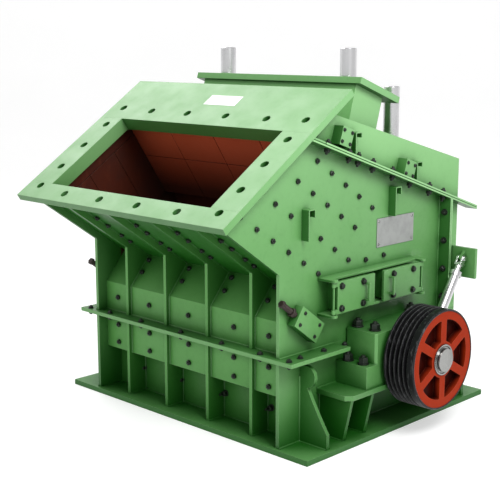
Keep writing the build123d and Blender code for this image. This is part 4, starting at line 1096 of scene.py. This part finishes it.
camera = {"place": (5.201, -4.669, 2.525), "tilt": 90 - 10.948, "turn": 44.25, "lens": 77.65,
          "sensor": 36.0}
studio = {"floor": 34.0, "widen": 5.0, "field": 260.0, "fieldDrop": 0.004, "wallRise": 16.0,
          "curve": 6.0, "colour": 0.66, "mottle": 0.6, "glow": 0.49, "world": 0.62}


def makeStage(s):
    bm = bmesh.new()
    bmesh.ops.create_grid(bm, x_segments=1, y_segments=1, size=s["floor"] / 2)
    far = [e for e in bm.edges if all(v.co.y > 0 for v in e.verts)]
    lifted = bmesh.ops.extrude_edge_only(bm, edges=far)
    wall = [v for v in lifted["geom"] if isinstance(v, bmesh.types.BMVert)]
    bmesh.ops.translate(bm, vec=(0, 0, s["wallRise"]), verts=wall)
    bmesh.ops.bevel(bm, geom=[e for e in bm.edges if all(v.co.y > 0 and v.co.z == 0 for v in e.verts)],
                    offset=s["curve"], offset_type="OFFSET", segments=12, profile=0.5,
                    affect="EDGES", material=-1)
    bmesh.ops.scale(bm, vec=(s["widen"], 1, 1), verts=bm.verts)
    bmesh.ops.create_grid(bm, x_segments=1, y_segments=1, size=s["field"] / 2,
                          matrix=Matrix.Translation((0, 0, -s["fieldDrop"])))
    bmesh.ops.rotate(bm, matrix=Matrix.Rotation(radians(camera["turn"]), 3, "Z"), verts=bm.verts)
    mesh = keepMesh("studioFloor", bm)
    f = Finish("studioPaper")
    mottle = f.ramp(f.noise(s["mottle"], 2.0), 0.3, 0.7)
    colour = f.mix(mottle, (s["colour"],) * 3, (s["colour"] * 0.97,) * 3)
    f.fixed(Roughness=0.9, Emission_Color=(1.0, 1.0, 1.0, 1.0), Emission_Strength=s["glow"])
    mesh.materials.append(f.paint(colour))
    mesh.shade_smooth()
    floor = bpy.data.objects.new("studioFloor", mesh)
    scene.collection.objects.link(floor)


makeStage(studio)

world = bpy.data.worlds.new("studioWorld")
world.use_nodes = True
world.node_tree.nodes["Background"].inputs["Color"].default_value = (1.0, 1.0, 1.0, 1.0)
world.node_tree.nodes["Background"].inputs["Strength"].default_value = studio["world"]
scene.world = world

lights = {
    "topSoft": {"place": (-4.8, 0.7, 6.9), "size": 5.0, "power": 300.0, "aim": (0, 0.2, 1.8)},
    "rightSoft": {"place": (4.3, -0.7, 4.8), "size": 2.4, "power": 230.0, "aim": (0.6, 1.0, 1.5)},
    "frontSoft": {"place": (2.6, -6.6, 5.0), "size": 3.0, "power": 40.0, "aim": (0, 0.6, 1.0)},
}
for name, s in lights.items():
    data = bpy.data.lights.new(name, "AREA")
    data.shape = "DISK"
    data.size = s["size"]
    data.energy = s["power"]
    lamp = bpy.data.objects.new(name, data)
    scene.collection.objects.link(lamp)
    lamp.location = s["place"]
    lamp.visible_camera = False
    lamp.rotation_euler = (Vector(s["aim"]) - lamp.location).to_track_quat("-Z", "Y").to_euler()

cameraData = bpy.data.cameras.new("photoCamera")
cameraData.lens = camera["lens"]
cameraData.sensor_width = camera["sensor"]
photoCamera = bpy.data.objects.new("photoCamera", cameraData)
photoCamera.location = camera["place"]
photoCamera.rotation_euler = (radians(camera["tilt"]), 0, radians(camera["turn"]))
scene.collection.objects.link(photoCamera)
scene.camera = photoCamera
scene.view_settings.view_transform = "Standard"
print("stage: studio and camera set")
